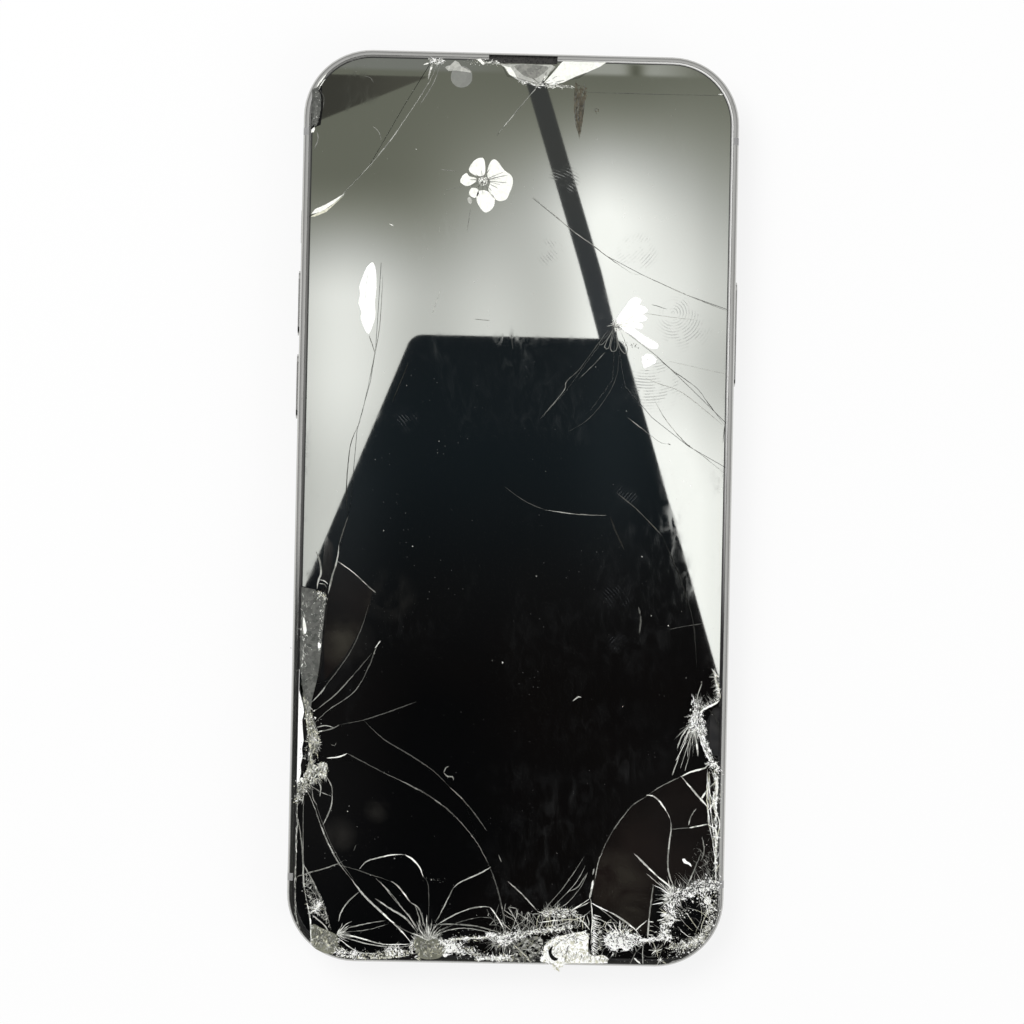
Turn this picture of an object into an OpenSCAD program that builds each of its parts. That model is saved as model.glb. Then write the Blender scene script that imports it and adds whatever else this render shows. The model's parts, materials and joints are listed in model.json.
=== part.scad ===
// Slab phone with a shattered cover glass, lying on its back with the screen up.
// Origin: centre of the footprint, level with the lowest faces of the lens rings.
// +X is the right-hand side seen from the screen, +Y the earpiece end, +Z out of the screen.

/* [Body] */
// Length from the charge port edge to the earpiece edge
phone_l = 147; // [122:1:177]
// Width without the buttons
phone_w = 70.4; // [58.4:0.2:85]
// Thickness from the back glass to the cover glass
body_t = 7.65; // [6.35:0.05:9.2]
// Radius of the four corners seen from the front
corner_r = 11; // [9:0.5:13.5]
// Thickness of the metal side wall
wall_t = 2.4; // [2:0.1:2.8]
// Width of the metal lip round each glass
lip_w = 0.95; // [0.9:0.05:1.1]
// Rounding along the front and back edges of the metal band
edge_r = 0.9; // [0.4:0.1:0.9]
// Thickness of the inner back plate
plate_t = 0.5; // [0.4:0.05:0.6]
// Width of the plastic antenna breaks in the band
antenna_gap = 1.2; // [0.8:0.1:1.6]

/* [Display] */
// Thickness of the cover glass
glass_t = 0.7; // [0.6:0.05:0.85]
// How far the cover glass stands above the metal lip
glass_proud = 0.3; // [0.2:0.05:0.4]
// Distance from the phone's side to the edge of both glasses
glass_inset = 1.2; // [1.15:0.05:1.4]
// Radius of the polished edge of the front and back glass
glass_edge_r = 0.3; // [0.2:0.05:0.35]
// Height of the plastic shelf that carries the cover glass
bezel_t = 0.8; // [0.7:0.05:0.9]
// Distance from the phone's side to the lit panel
panel_inset = 3; // [2.9:0.1:4]
// Width of the clearance that a crack leaves between two shards
crack_w = 0.08; // [0.06:0.01:0.12]
// Length of the earpiece slot
earpiece_l = 11; // [9:0.5:12]

/* [Back and cameras] */
// Thickness of the back glass
back_glass_t = 0.8; // [0.7:0.05:0.95]
// How far the back glass stands below the metal lip
back_proud = 0.35; // [0.25:0.05:0.45]
// Height of the camera plateau below the back glass
plateau_h = 0.7; // [0.5:0.05:1]
// How far the lens rings stand below the plateau
ring_h = 0.5; // [0.3:0.05:0.7]
// Outer radius of a lens ring
ring_r = 6.2; // [5.7:0.1:6.8]
// Distance between the two lens centres
lens_pitch = 16.5; // [15.8:0.1:18.5]
// Side of a square camera housing
camera_size = 12; // [11:0.25:13]

/* [Buttons] */
// Length of the power button
power_l = 17; // [12:0.5:20]
// Length of each volume button
volume_l = 10.5; // [8:0.5:12]
// Height of the side buttons
button_h = 2.8; // [2.2:0.1:3]
// How far the buttons stand out of the side
button_proud = 0.35; // [0.2:0.05:0.5]
// Travel of a pressed button
button_travel = 0.25; // [0.15:0.05:0.28]
// Travel of the mute switch across the thickness
mute_travel = 1.2; // [0.8:0.1:1.3]

/* [Ports and tray] */
// Width of the charge port's shell
port_w = 8.94; // [7.5:0.1:9.4]
// Height of the charge port's shell
port_h = 3.26; // [2.6:0.1:3.4]
// Width of the card tray's carrier
tray_w = 12.6; // [12:0.1:13.4]
// Thickness of the card tray's carrier
tray_t = 1.1; // [0.9:0.05:1.3]
// Depth of the card tray inside the side wall
tray_l = 17; // [15:0.5:18]
// Radius of a sound hole
sound_r = 0.75; // [0.5:0.05:0.9]

/* [Inside] */
// Width of the logic board
board_w = 20; // [19:0.5:21]
// Thickness of the logic board
board_t = 0.8; // [0.6:0.1:1]
// Outer radius of the wireless charging coil
coil_r = 20; // [16:0.5:20.5]

/* [Hidden] */
$fn = 64;

// Clearances
fit = 0.1;            // between a fixed piece and its hole, each side
slide_fit = 0.12;     // round a piece that slides
room = 0.2;           // between neighbours inside the body

// Heights, from the lens rings up
back_z = plateau_h + ring_h;
front_z = back_z + body_t;
band_z0 = back_z + back_proud;
band_z1 = front_z - glass_proud;
plate_z0 = back_z + back_glass_t;
plate_z1 = plate_z0 + plate_t;
glass_z0 = front_z - glass_t;
bezel_z0 = glass_z0 - bezel_t;
gasket_t = 0.15;
ledge_z = bezel_z0 - gasket_t;
panel_t = 0.6;
panel_z0 = glass_z0 - panel_t;
backing_z0 = bezel_z0;
mid_z = (band_z0 + band_z1) / 2;
cavity_mid_z = (plate_z1 + backing_z0) / 2;
inner_top = backing_z0 - 0.25;

// Plan sizes
half_w = phone_w / 2;
half_l = phone_l / 2;
straight_x = half_w - corner_r;
straight_y = half_l - corner_r;
cavity_x = half_w - wall_t;
cavity_y = half_l - wall_t;
plate_inset = 1.6;
bezel_inset = lip_w + 0.03;
bezel_rim = 0.2;
bezel_inner = panel_inset - 0.1;

// Cameras
camera_x = half_w - 13.7;
camera_y = half_l - 19.5;
upper_y = camera_y + lens_pitch / 2;
lower_y = camera_y - lens_pitch / 2;
sleeve_r = ring_r - 0.6;
ring_inner_r = ring_r - 1.6;
barrel_r = 3.35;
flash_r = 1.6;
led_w = 3;
camera_top = inner_top;
plateau_w = 2 * ring_r + 2.2;
plateau_l = lens_pitch + plateau_w;

// Side buttons and switches, from the earpiece end
power_y = half_l - 44.5;
volume_up_y = half_l - 41;
volume_down_y = volume_up_y - volume_l - 3;
mute_y = volume_up_y + volume_l / 2 + 7.2;
flange_t = 0.6;
flange_gap = 0.03;
nub_l = 0.5;
nub_r = 0.6;
switch_gap = button_travel + 0.05;
switch_t = 1.2;
switch_x = cavity_x - flange_t - nub_l - switch_gap;
mute_knob = [5.4, 1.5];
mute_flange_h = backing_z0 - plate_z1 - mute_travel - 2 * room;
mute_rest_z = cavity_mid_z - mute_travel / 2;

// Battery, board and card tray
battery_x0 = -(cavity_x - 3);
board_x1 = cavity_x - 3.2;
board_x0 = board_x1 - board_w;
battery_x1 = board_x0 - 1.2;
board_y0 = -(half_l - 23.5);
board_y1 = lower_y - camera_size / 2 - 1.45;
reader_floor = 0.3;
board_z1 = mid_z - tray_t / 2 - fit - reader_floor;
board_z0 = board_z1 - board_t;
tray_y = -8;
coil_y = -16;
tray_cap = [tray_w + 2.8, 2.2];
tray_x0 = cavity_x - tray_l;
reader_half = tray_w / 2 + fit + 0.8;
cover_y0 = tray_y + reader_half + 2.3;
cover_l = 12.5;
cover_mid_y = cover_y0 + cover_l / 2;
cover_z = board_z1 + 1.3;
screw_edge = 1.4;
board_screw_spots = [
    for (x = [board_x0 + screw_edge, board_x1 - screw_edge])
        for (y = [board_y0 + screw_edge, board_y1 - screw_edge])
            [x, y, board_z1]
];
cover_screw_spots = [
    for (x = [board_x0 + screw_edge, board_x1 - screw_edge]) [x, cover_mid_y, board_z1 + 0.25]
];

// Bottom end
vibration_x0 = -(cavity_x - 6);
vibration_x1 = -9.6;
vibration_y0 = -(cavity_y - 2.2);
vibration_y1 = vibration_y0 + 9.5;
vibration_wall = 0.35;
vibration_travel = 0.6;
vibration_z0 = plate_z1 + 0.1;
vibration_z1 = inner_top - 0.5;
battery_y0 = vibration_y1 + 1;
battery_y1 = half_l - 15.5;
battery_z0 = plate_z1 + 0.1;
battery_z1 = inner_top - 0.2;
screw_x = port_w / 2 + 3.7;
screw_head = [0.95, 0.7];
screw_shank_r = 0.55;
flex_half_w = 9.2;
flex_overlap = 0.5;
speaker_gap = 0.3;
speaker_x0 = max(board_x0 + 1.6, flex_half_w + speaker_gap, screw_x + screw_head[0] + speaker_gap);
speaker_y1 = board_y0 - 2.3;
sound_x0 = 11.8;
sound_pitch = 2.2;
sound_count = floor((straight_x - 1 - sound_x0) / sound_pitch) + 1;
sound_x1 = sound_x0 + (sound_count - 1) * sound_pitch;

// Earpiece end
front_camera_at = [-9.9, half_l - 4.55];
notch = [17.5, half_l - 7.9];
slot_y0 = half_l - 1.8;
slot_y1 = half_l - 0.45;
slot_z0 = glass_z0 - 0.55;

// Damage to the cover glass, in millimetres from the centre of a 147 by 70.4 phone.
// It is stretched with the glass when the body's size changes.
damage_x = (half_w - glass_inset) / 34;
damage_y = (half_l - glass_inset) / 72.3;
function placed(points) = [for (p = points) [p[0] * damage_x, p[1] * damage_y]];

cracks = [
    // Lower left corner
    [[-34.8, -44.5], [-32.3, -46], [-30, -51.5], [-27, -57.5], [-22.8, -62.7], [-17, -68], [-11.5, -73]],
    [[-34.8, -60.2], [-30, -59], [-27.3, -57.8], [-21.8, -59.5], [-16.5, -62], [-13.1, -67.5], [-12.5, -72]],
    [[-27, -69], [-22.5, -67.5], [-19.3, -66.2]],
    [[-27, -69], [-22.5, -70], [-15, -70.4]],
    [[-35, -71.5], [-27, -69], [-26.8, -67], [-23.6, -62.2]],
    // Sweeps from the left edge to the bottom edge
    [[-34.8, -39], [-29.2, -40.8], [-24, -41.2], [-15, -45.3], [-8.5, -49.7], [-5, -53.7], [-2.7, -57.7],
        [-1.3, -61.5], [0, -68], [0.3, -73]],
    [[-34.8, -35.6], [-30.5, -36.6], [-23.5, -34.6], [-20, -37.7], [-12, -42.6], [-7, -47.3], [-4.2, -54.8]],
    [[-23.5, -34.6], [-15, -31.5]],
    [[-34.8, -33.3], [-31.3, -33.3], [-28, -30.5], [-24.5, -26.5], [-22.3, -23.8]],
    [[-31.2, -29], [-28.8, -28.2], [-26, -24], [-24, -19.5], [-22, -13.8], [-28.3, -9.2], [-30.2, -13.2]],
    // Bottom edge
    [[-12.8, -69.5], [-8, -67.5], [-3.5, -66.5], [0, -68.3], [5, -65], [9.5, -65], [13.6, -62.8],
        [20.5, -68.8], [25, -68], [27, -63.5], [34.8, -59.8]],
    [[13.6, -62], [13.5, -73]],
    [[-11.5, -68.5], [-10, -64], [-7.3, -60.3], [-2.2, -57.6]],
    [[0.5, -60.3], [5, -65.2]],
    [[7.5, -64.8], [10, -59.5], [12, -56.2]],
    // Tinted shard on the lower right
    [[13.6, -63], [14, -59.5], [15, -55.3], [17, -51.5], [20, -47.5], [24, -44.7], [30, -41.7],
        [34.8, -39.4]],
    [[27.2, -64], [26, -56], [26.4, -51], [25, -47.5], [21.6, -45.9]],
    [[26.1, -51.2], [32.3, -50.4], [34.8, -52.6]],
    [[27.6, -42.4], [30, -45], [32.3, -47.7], [32.4, -50.8]],
    [[27, -63.5], [24, -58.5], [20.5, -55.2]],
    // Right edge
    [[34.8, -30], [33, -30.7], [30, -33.5], [29, -37], [26.4, -43.8]],
    [[29.8, -33.7], [31.4, -35.4]],
    [[30, -33.5], [30.2, -29]],
    // Star above the middle and the long cracks that leave it
    [[2, 50], [8, 45.3], [14, 41], [20, 38], [27, 35], [34.8, 32.4]],
    [[15.6, 30.1], [22.5, 25], [28, 20], [34.8, 13.6]],
    [[15.6, 30.1], [17.5, 20], [22, 15], [28, 10.5], [34.8, 6.8]],
    [[15.7, 30], [12.5, 25.5], [8, 19], [4, 14.5]],
    [[15.7, 30], [15.5, 21], [12, 16]],
    // Left side
    [[-22.2, 39], [-22.8, 25], [-23.5, 20], [-25.5, 12], [-26.3, 0], [-28.3, -9.3]],
    [[-14, 73], [-19, 64.5], [-24.5, 54.5], [-29, 49.5], [-34.8, 45.6]],
    // Earpiece edge
    [[-4, 60], [2.7, 68.5], [6, 73]],
    [[2.7, 68.5], [-2.5, 69.6], [-4.2, 73]],
    [[2.7, 68.5], [9, 69.6], [13.8, 73]]
];

lost_glass = [
    [[-35, -12.9], [-31.5, -13.9], [-29.5, -13.2], [-30, -17], [-30.5, -25], [-31.8, -31.5], [-33.3, -30.6],
        [-35, -30]],
    [[-35, 69], [-32.4, 68], [-32.1, 64], [-32.4, 61], [-35, 59.9]],
    [[35, -31], [32.8, -31.6], [31.4, -34.5], [31.6, -37.2], [33, -39.3], [35, -39.1]],
    [[7.6, -73], [8.2, -71.6], [9.4, -71.9], [9.8, -73]],
    [[29.5, -73], [30.1, -70.6], [31.8, -69], [34, -67.4], [36, -67], [36, -73]]
];

// Shapes that repeat

module rounded_rect(w, l, r) {
    square([w - 2 * r, l], center = true);
    square([w, l - 2 * r], center = true);
    for (x = [-1, 1], y = [-1, 1])
        translate([x * (w / 2 - r), y * (l / 2 - r)]) circle(r);
}

module pill(l, h) {
    square([l - h, h], center = true);
    for (x = [-1, 1]) translate([x * (l - h) / 2, 0]) circle(h / 2);
}

// The phone's outline, drawn in by inset on every side
module outline(inset) rounded_rect(phone_w - 2 * inset, phone_l - 2 * inset, corner_r - inset);

module slab(inset, z0, z1) translate([0, 0, z0]) linear_extrude(z1 - z0) outline(inset);

module outline_ring(outer, inner, z0, z1) {
    translate([0, 0, z0]) linear_extrude(z1 - z0) difference() {
        outline(outer);
        outline(inner);
    }
}

module block(low, high) translate(low) cube(high - low);

// A flat shape drawn in Y and Z, pushed along X
module along_x(x0, x1) translate([x0, 0, 0]) rotate([90, 0, 90]) linear_extrude(x1 - x0) children();

// A flat shape drawn in X and Z, pushed along Y
module along_y(y0, y1) translate([0, y1, 0]) rotate([90, 0, 0]) linear_extrude(y1 - y0) children();

module upright(x, y, z0, z1, r) translate([x, y, z0]) cylinder(h = z1 - z0, r = r);

// Mirrors its children to the left-hand side when side is -1
module on_side(side) mirror([side < 0 ? 1 : 0, 0, 0]) children();

// Frame

// Section of the metal band: x is the distance from the corner's centre, y is the height
module band_section() {
    difference() {
        union() {
            translate([corner_r - lip_w, band_z0]) square([lip_w, band_z1 - band_z0]);
            translate([corner_r - wall_t, plate_z0]) square([wall_t - lip_w / 2, ledge_z - plate_z0]);
        }
        edge_cutter(corner_r, band_z1 - edge_r, edge_r, 1);
        edge_cutter(corner_r, band_z0 + edge_r, edge_r, -1);
    }
}

// What a rounded edge of radius r takes off a section whose outer corner is at x
module edge_cutter(x, z, r, up) {
    translate([x - r, z]) mirror([0, up < 0 ? 1 : 0]) difference() {
        square(r + 1);
        circle(r);
    }
}

module swept_round() {
    for (c = [[1, 1, 0], [-1, 1, 90], [-1, -1, 180], [1, -1, 270]])
        translate([c[0] * straight_x, c[1] * straight_y, 0]) rotate([0, 0, c[2]])
            rotate_extrude(angle = 90) children();
    for (turn = [0, 180]) rotate([0, 0, turn]) {
        translate([straight_x, 0, 0]) along_y(-straight_y, straight_y) children();
        translate([0, straight_y, 0]) along_x(-straight_x, straight_x) children();
    }
}

module antenna_spots() {
    for (side = [-1, 1], y = [-(straight_y - 2.5), straight_y - 2.5])
        on_side(side) translate([straight_x, y, 0]) children();
}

module side_slots() {
    on_side(1) translate([0, power_y, mid_z]) along_x(cavity_x - 1, half_w + 1)
        pill(power_l + 2 * slide_fit, button_h + 2 * slide_fit);
    for (y = [volume_up_y, volume_down_y])
        on_side(-1) translate([0, y, mid_z]) along_x(cavity_x - 1, half_w + 1)
            pill(volume_l + 2 * slide_fit, button_h + 2 * slide_fit);
    on_side(-1) translate([0, mute_y, cavity_mid_z]) along_x(cavity_x - 1, half_w + 1)
        rounded_rect(mute_knob[0] + 2 * slide_fit, mute_knob[1] + mute_travel + 2 * slide_fit, 0.5);
    translate([0, tray_y, mid_z]) along_x(cavity_x - 1, half_w + 1)
        pill(tray_cap[0] + 2 * fit, tray_cap[1] + 2 * fit);
}

module bottom_holes() {
    translate([0, 0, mid_z]) along_y(-half_l - 1, -cavity_y + 0.5) pill(port_w + 0.1, port_h + 0.1);
    for (side = [-1, 1]) on_side(side) {
        for (i = [0 : sound_count - 1])
            translate([sound_x0 + i * sound_pitch, 0, mid_z])
                along_y(-half_l - 1, -cavity_y + 0.5) circle(sound_r);
        translate([screw_x, 0, mid_z]) {
            along_y(-half_l - 1, -half_l + screw_head[1] + 0.3) circle(screw_head[0] + fit);
            along_y(-half_l - 1, -cavity_y + 0.5) circle(screw_shank_r + 0.05);
        }
    }
}

module frame() {
    color("silver") difference() {
        union() {
            swept_round() band_section();
            slab(plate_inset, plate_z0, plate_z1);
            for (p = concat(board_screw_spots, cover_screw_spots))
                upright(p[0], p[1], plate_z1 - 0.1, board_z0, 1.35);
        }
        upright(0, coil_y, plate_z0 - 1, plate_z1 + 0.05, coil_r + 0.5);
        for (y = [upper_y, lower_y]) upright(camera_x, y, plate_z0 - 1, plate_z1 + 1, sleeve_r + fit);
        translate([camera_x, camera_y, plate_z0 - 1]) linear_extrude(plate_t + 2)
            square(led_w + 2 * fit, center = true);
        for (p = concat(board_screw_spots, cover_screw_spots))
            upright(p[0], p[1], plate_z1 - 0.2, board_z0 + 1, 0.55);
        antenna_spots() along_y(-antenna_gap / 2, antenna_gap / 2) {
            translate([corner_r - plate_inset, band_z0 - 1]) square([plate_inset + 1, band_z1 - band_z0 + 2]);
            translate([corner_r - wall_t - 0.1, plate_z1]) square([wall_t + 1, band_z1 - plate_z1 + 1]);
        }
        side_slots();
        bottom_holes();
        block(
            [-earpiece_l / 2 - 0.05, half_l - lip_w - 1, slot_z0],
            [earpiece_l / 2 + 0.05, slot_y1, band_z1 + 1]
        );
    }
}

module antenna_bands() {
    color("dimgray") antenna_spots() along_y(-antenna_gap / 2, antenna_gap / 2) difference() {
        band_section();
        translate([corner_r - wall_t - 1, plate_z0 - 1]) square([wall_t - plate_inset + 1, plate_t + 1]);
    }
}

// Back and cameras

module back_glass() {
    color([0.16, 0.17, 0.18]) difference() {
        slab(glass_inset, back_z, plate_z0);
        swept_round() edge_cutter(corner_r - glass_inset, back_z + glass_edge_r, glass_edge_r, -1);
        plateau_slab(fit, 0, front_z);
    }
}

module plateau_slab(grow, z0, z1) {
    w = plateau_w + 2 * grow;
    translate([camera_x, camera_y, z0]) linear_extrude(z1 - z0)
        rounded_rect(w, plateau_l + 2 * grow, w / 2 - 0.1);
}

// Stands on the back plate and passes through the back glass
module camera_plateau() {
    color([0.2, 0.21, 0.22]) difference() {
        plateau_slab(0, ring_h, plate_z0);
        for (y = [upper_y, lower_y]) upright(camera_x, y, 0, front_z, sleeve_r + fit);
        upright(camera_x, camera_y, 0, front_z, flash_r + fit);
    }
}

// Flange outside the plateau, sleeve down to the back plate, and a seat behind the lens glass
module lens_ring(y) {
    seat_z = ring_h + 0.35;
    color("lightgray") translate([camera_x, y, 0]) rotate_extrude() {
        translate([ring_inner_r, 0]) square([ring_r - ring_inner_r, ring_h]);
        translate([ring_inner_r, ring_h / 2]) square([sleeve_r - ring_inner_r, plate_z1 - ring_h / 2]);
        translate([ring_inner_r - 0.4, seat_z]) square([0.8, 0.3]);
    }
}

module lens_glass(y) color([0.1, 0.1, 0.12]) upright(camera_x, y, 0.15, ring_h + 0.35, ring_inner_r - 0.05);

module rear_camera(y) {
    color([0.15, 0.15, 0.16]) difference() {
        translate([camera_x, y, plate_z1 + 0.05]) linear_extrude(camera_top - plate_z1 - 0.05)
            rounded_rect(camera_size, camera_size, 0.6);
        upright(camera_x, y, 0, camera_top - 0.6, barrel_r + 0.15);
    }
}

// Focus carrier with a stepped front recess
module lens_barrel(y) {
    z0 = plate_z1 + 0.15;
    z1 = camera_top - 0.9;
    color([0.08, 0.08, 0.09]) difference() {
        upright(camera_x, y, z0, z1, barrel_r);
        upright(camera_x, y, 0, z0 + 0.35, barrel_r - 0.7);
        upright(camera_x, y, 0, z0 + 0.8, barrel_r - 1.3);
    }
}

module camera_bracket() {
    arm = camera_size / 2 + 0.25;
    color("silver") difference() {
        union() {
            block(
                [camera_x - arm - 0.3, lower_y - arm, camera_top],
                [camera_x + arm, upper_y + arm - 0.2, camera_top + 0.2]
            );
            block(
                [camera_x - arm - 0.3, lower_y - arm, plate_z1],
                [camera_x - arm, upper_y + arm - 0.2, camera_top + 0.1]
            );
        }
        for (y = [upper_y, lower_y]) upright(camera_x, y, camera_top - 0.5, front_z, 2.5);
    }
}

module flash_lens() color([0.95, 0.93, 0.8]) upright(camera_x, camera_y, ring_h, plate_z0 - 0.1, flash_r);

module flash_led() {
    color([0.95, 0.85, 0.4]) translate([camera_x, camera_y, plate_z0])
        linear_extrude(plate_t) square(led_w, center = true);
}

// Display

// Unit normal to the line from a to b
function normal(a, b) = let (d = b - a) [-d[1], d[0]] / norm(d);

function unit(v) = v / norm(v);

// Outline of a crack: its line set off to one side, then back along the other
function crack_outline(line, half) = let (
    last = len(line) - 1,
    normals = [
        for (i = [0 : last])
            i == 0 ? normal(line[0], line[1])
            : i == last ? normal(line[last - 1], line[last])
            : unit(normal(line[i - 1], line[i]) + normal(line[i], line[i + 1]))
    ]
) concat(
    [for (i = [0 : last]) line[i] + normals[i] * half],
    [for (i = [last : -1 : 0]) line[i] - normals[i] * half]
);

module cover_glass() {
    color([0.06, 0.065, 0.07]) difference() {
        slab(glass_inset, glass_z0, front_z);
        swept_round() edge_cutter(corner_r - glass_inset, front_z - glass_edge_r, glass_edge_r, 1);
        block([-earpiece_l / 2, slot_y0, glass_z0 - 1], [earpiece_l / 2, half_l, front_z + 1]);
        translate([0, 0, glass_z0 - 1]) linear_extrude(glass_t + 2) {
            for (line = cracks) polygon(crack_outline(placed(line), crack_w / 2));
            for (hole = lost_glass) polygon(placed(hole));
        }
    }
}

// Rim round the glass and the shelf under it, open at the earpiece
module display_bezel() {
    color([0.05, 0.05, 0.05]) difference() {
        union() {
            outline_ring(bezel_inset, bezel_inset + bezel_rim, bezel_z0 + 0.2, band_z1 - 0.05);
            outline_ring(bezel_inset, bezel_inner, bezel_z0, glass_z0);
        }
        block([-earpiece_l / 2 - 0.05, slot_y0 - 0.1, slot_z0], [earpiece_l / 2 + 0.05, half_l, front_z]);
    }
}

module notched(z0, z1) {
    difference() {
        slab(panel_inset, z0, z1);
        block([-notch[0], notch[1], z0 - 1], [notch[0], half_l, z1 + 1]);
    }
}

module display_panel() color([0.03, 0.03, 0.035]) notched(panel_z0, glass_z0);

module display_backing() color([0.25, 0.25, 0.26]) notched(backing_z0, panel_z0);

module display_gasket() {
    color([0.12, 0.12, 0.12]) outline_ring(bezel_inset + 0.07, wall_t - 0.05, ledge_z, bezel_z0);
}

// Earpiece end

module earpiece_mesh() {
    color([0.1, 0.1, 0.1])
        block([-earpiece_l / 2, slot_y0, slot_z0], [earpiece_l / 2, slot_y1 - 0.05, slot_z0 + 0.15]);
}

module earpiece_speaker() {
    color([0.2, 0.2, 0.2])
        block([-6.3, notch[1] - 0.6, plate_z1 + 0.5], [6.5, cavity_y - room, ledge_z - 0.4]);
}

module front_camera() {
    at = front_camera_at;
    color([0.1, 0.1, 0.12]) {
        block([at[0] - 3.2, notch[1] + 0.6, plate_z1 + 0.5], [at[0] + 3.2, cavity_y - 0.1, ledge_z - 0.2]);
        upright(at[0], at[1], ledge_z - 0.5, glass_z0 - 0.05, 1.5);
    }
}

module proximity_sensor() {
    color([0.1, 0.1, 0.12])
        block([-17.3, notch[1] + 0.8, backing_z0 - 1], [-13.6, cavity_y - 0.9, glass_z0 - 0.1]);
}

module sensor_bracket() {
    color("silver") difference() {
        block([-17.4, notch[1] - 1, plate_z1], [7, cavity_y - 0.1, backing_z0 - 1.1]);
        block([-17, notch[1] - 0.8, plate_z1 + 0.3], [6.7, half_l, front_z]);
    }
}

// Power and board

module battery() {
    width = battery_x1 - battery_x0;
    color([0.1, 0.1, 0.11]) {
        translate([(battery_x0 + battery_x1) / 2, (battery_y0 + battery_y1 - 3) / 2, battery_z0])
            linear_extrude(battery_z1 - battery_z0) rounded_rect(width, battery_y1 - battery_y0 - 3, 1);
        block([battery_x0 + 1, battery_y1 - 3.5, battery_z0], [battery_x1 - 1, battery_y1, battery_z1 - 1.2]);
    }
}

module battery_adhesive() {
    for (x = [battery_x0 + 7, battery_x1 - 12])
        color("white") block([x, battery_y0 + 4, plate_z1], [x + 5, battery_y1 - 4, battery_z0]);
}

module battery_tab() {
    y = cover_y0 + 1.2;
    color([0.75, 0.5, 0.1]) {
        block([battery_x1, y, board_z1 + 0.9], [board_x0 + 7.6, y + 2.4, board_z1 + 1.05]);
        block([board_x0 + 4, y, board_z1], [board_x0 + 7.6, y + 2.4, board_z1 + 0.95]);
    }
}

module logic_board() {
    color([0.05, 0.2, 0.12]) difference() {
        translate([(board_x0 + board_x1) / 2, (board_y0 + board_y1) / 2, board_z0])
            linear_extrude(board_t) rounded_rect(board_w, board_y1 - board_y0, 0.8);
        for (p = concat(board_screw_spots, cover_screw_spots))
            upright(p[0], p[1], board_z0 - 1, board_z1 + 1, 0.55);
    }
}

module board_shields() {
    for (ys = [[board_y0 + 3, tray_y - reader_half - 1.5], [cover_y0 + cover_l + 1.5, board_y1 - 3]])
        color("lightgray") translate([(board_x0 + board_x1) / 2, (ys[0] + ys[1]) / 2, board_z1])
            linear_extrude(1.5) rounded_rect(board_w - 1.6, ys[1] - ys[0], 0.6);
}

module small_screw(p) {
    color("gray") difference() {
        union() {
            upright(p[0], p[1], p[2], p[2] + 0.45, 1.1);
            upright(p[0], p[1], plate_z1 + 0.05, p[2] + 0.1, 0.48);
        }
        for (turn = [0, 90])
            translate([p[0], p[1], p[2] + 0.45]) rotate([0, 0, turn]) cube([1.2, 0.25, 0.4], center = true);
    }
}

module board_screws() for (p = concat(board_screw_spots, cover_screw_spots)) small_screw(p);

// Sheet over the board's connectors, on two feet
module connector_cover() {
    color("silver") {
        block([board_x0 + 3, cover_y0, cover_z], [board_x1 - 3, cover_y0 + cover_l, cover_z + 0.25]);
        for (x = [board_x0 + 3, board_x1 - 3.25])
            block([x, cover_mid_y - 1.6, board_z1], [x + 0.25, cover_mid_y + 1.6, cover_z + 0.1]);
        difference() {
            for (x = [board_x0 + 0.2, board_x1 - 3.1])
                block([x, cover_mid_y - 1.6, board_z1], [x + 2.9, cover_mid_y + 1.6, board_z1 + 0.25]);
            for (p = cover_screw_spots) upright(p[0], p[1], board_z1 - 1, board_z1 + 1, 0.55);
        }
    }
}

// Folded ribbon from the display's backing to its connector on the board
module display_flex() {
    y1 = cover_y0 + cover_l - 1.2;
    x = board_x1 - 2;
    t = 0.12;
    low = board_z1 + 0.9;
    color([0.8, 0.55, 0.15]) along_y(y1 - 3.2, y1) polygon([
        [board_x0 + 9, board_z1], [board_x0 + 13, board_z1], [board_x0 + 13, low], [x + t, low],
        [x + t, backing_z0], [x - 9, backing_z0], [x - 9, backing_z0 - t], [x, backing_z0 - t],
        [x, low + t], [board_x0 + 9, low + t]
    ]);
}

module sim_reader() {
    roof = 0.25;
    color("lightgray") difference() {
        block([tray_x0 - 0.9, tray_y - reader_half, board_z1],
            [cavity_x - 0.4, tray_y + reader_half, board_z1 + reader_floor + tray_t + 2 * fit + roof]);
        block([tray_x0 - 0.3, tray_y - tray_w / 2 - fit, board_z1 + reader_floor],
            [cavity_x, tray_y + tray_w / 2 + fit, board_z1 + reader_floor + tray_t + 2 * fit]);
    }
}

module sim_tray() {
    cap_x0 = cavity_x + 0.2;
    color("silver") translate([0, tray_y, mid_z]) difference() {
        union() {
            along_x(cap_x0, half_w) pill(tray_cap[0], tray_cap[1]);
            block([tray_x0, -tray_w / 2, -tray_t / 2], [cap_x0 + 0.3, tray_w / 2, tray_t / 2]);
        }
        block([tray_x0 + 1.2, -6, -tray_t / 2 + 0.35], [tray_x0 + 10.1, 6, tray_t]);
        translate([0, tray_w / 2 + 0.7, 0]) along_x(cap_x0 - 1, half_w + 1) circle(0.4);
    }
}

module wireless_coil() {
    color([0.72, 0.4, 0.2]) difference() {
        upright(0, coil_y, plate_z0, plate_z1 - 0.05, coil_r);
        upright(0, coil_y, plate_z0 - 1, plate_z1 + 1, coil_r / 2);
    }
}

// Buttons and switches

// Cap that shows outside, retaining flange inside the wall, and the nub that presses the switch
module side_button(side, y, l) {
    color("silver") on_side(side) translate([0, y, mid_z]) {
        along_x(cavity_x - flange_t + 0.1, half_w + button_proud) pill(l, button_h);
        along_x(cavity_x - flange_t, cavity_x - flange_gap) pill(l + 1.2, button_h + 0.9);
        along_x(cavity_x - flange_t - nub_l, cavity_x - flange_t + 0.1) circle(nub_r);
    }
}

module power_button() side_button(1, power_y, power_l);

module volume_up_button() side_button(-1, volume_up_y, volume_l);

module volume_down_button() side_button(-1, volume_down_y, volume_l);

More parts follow.
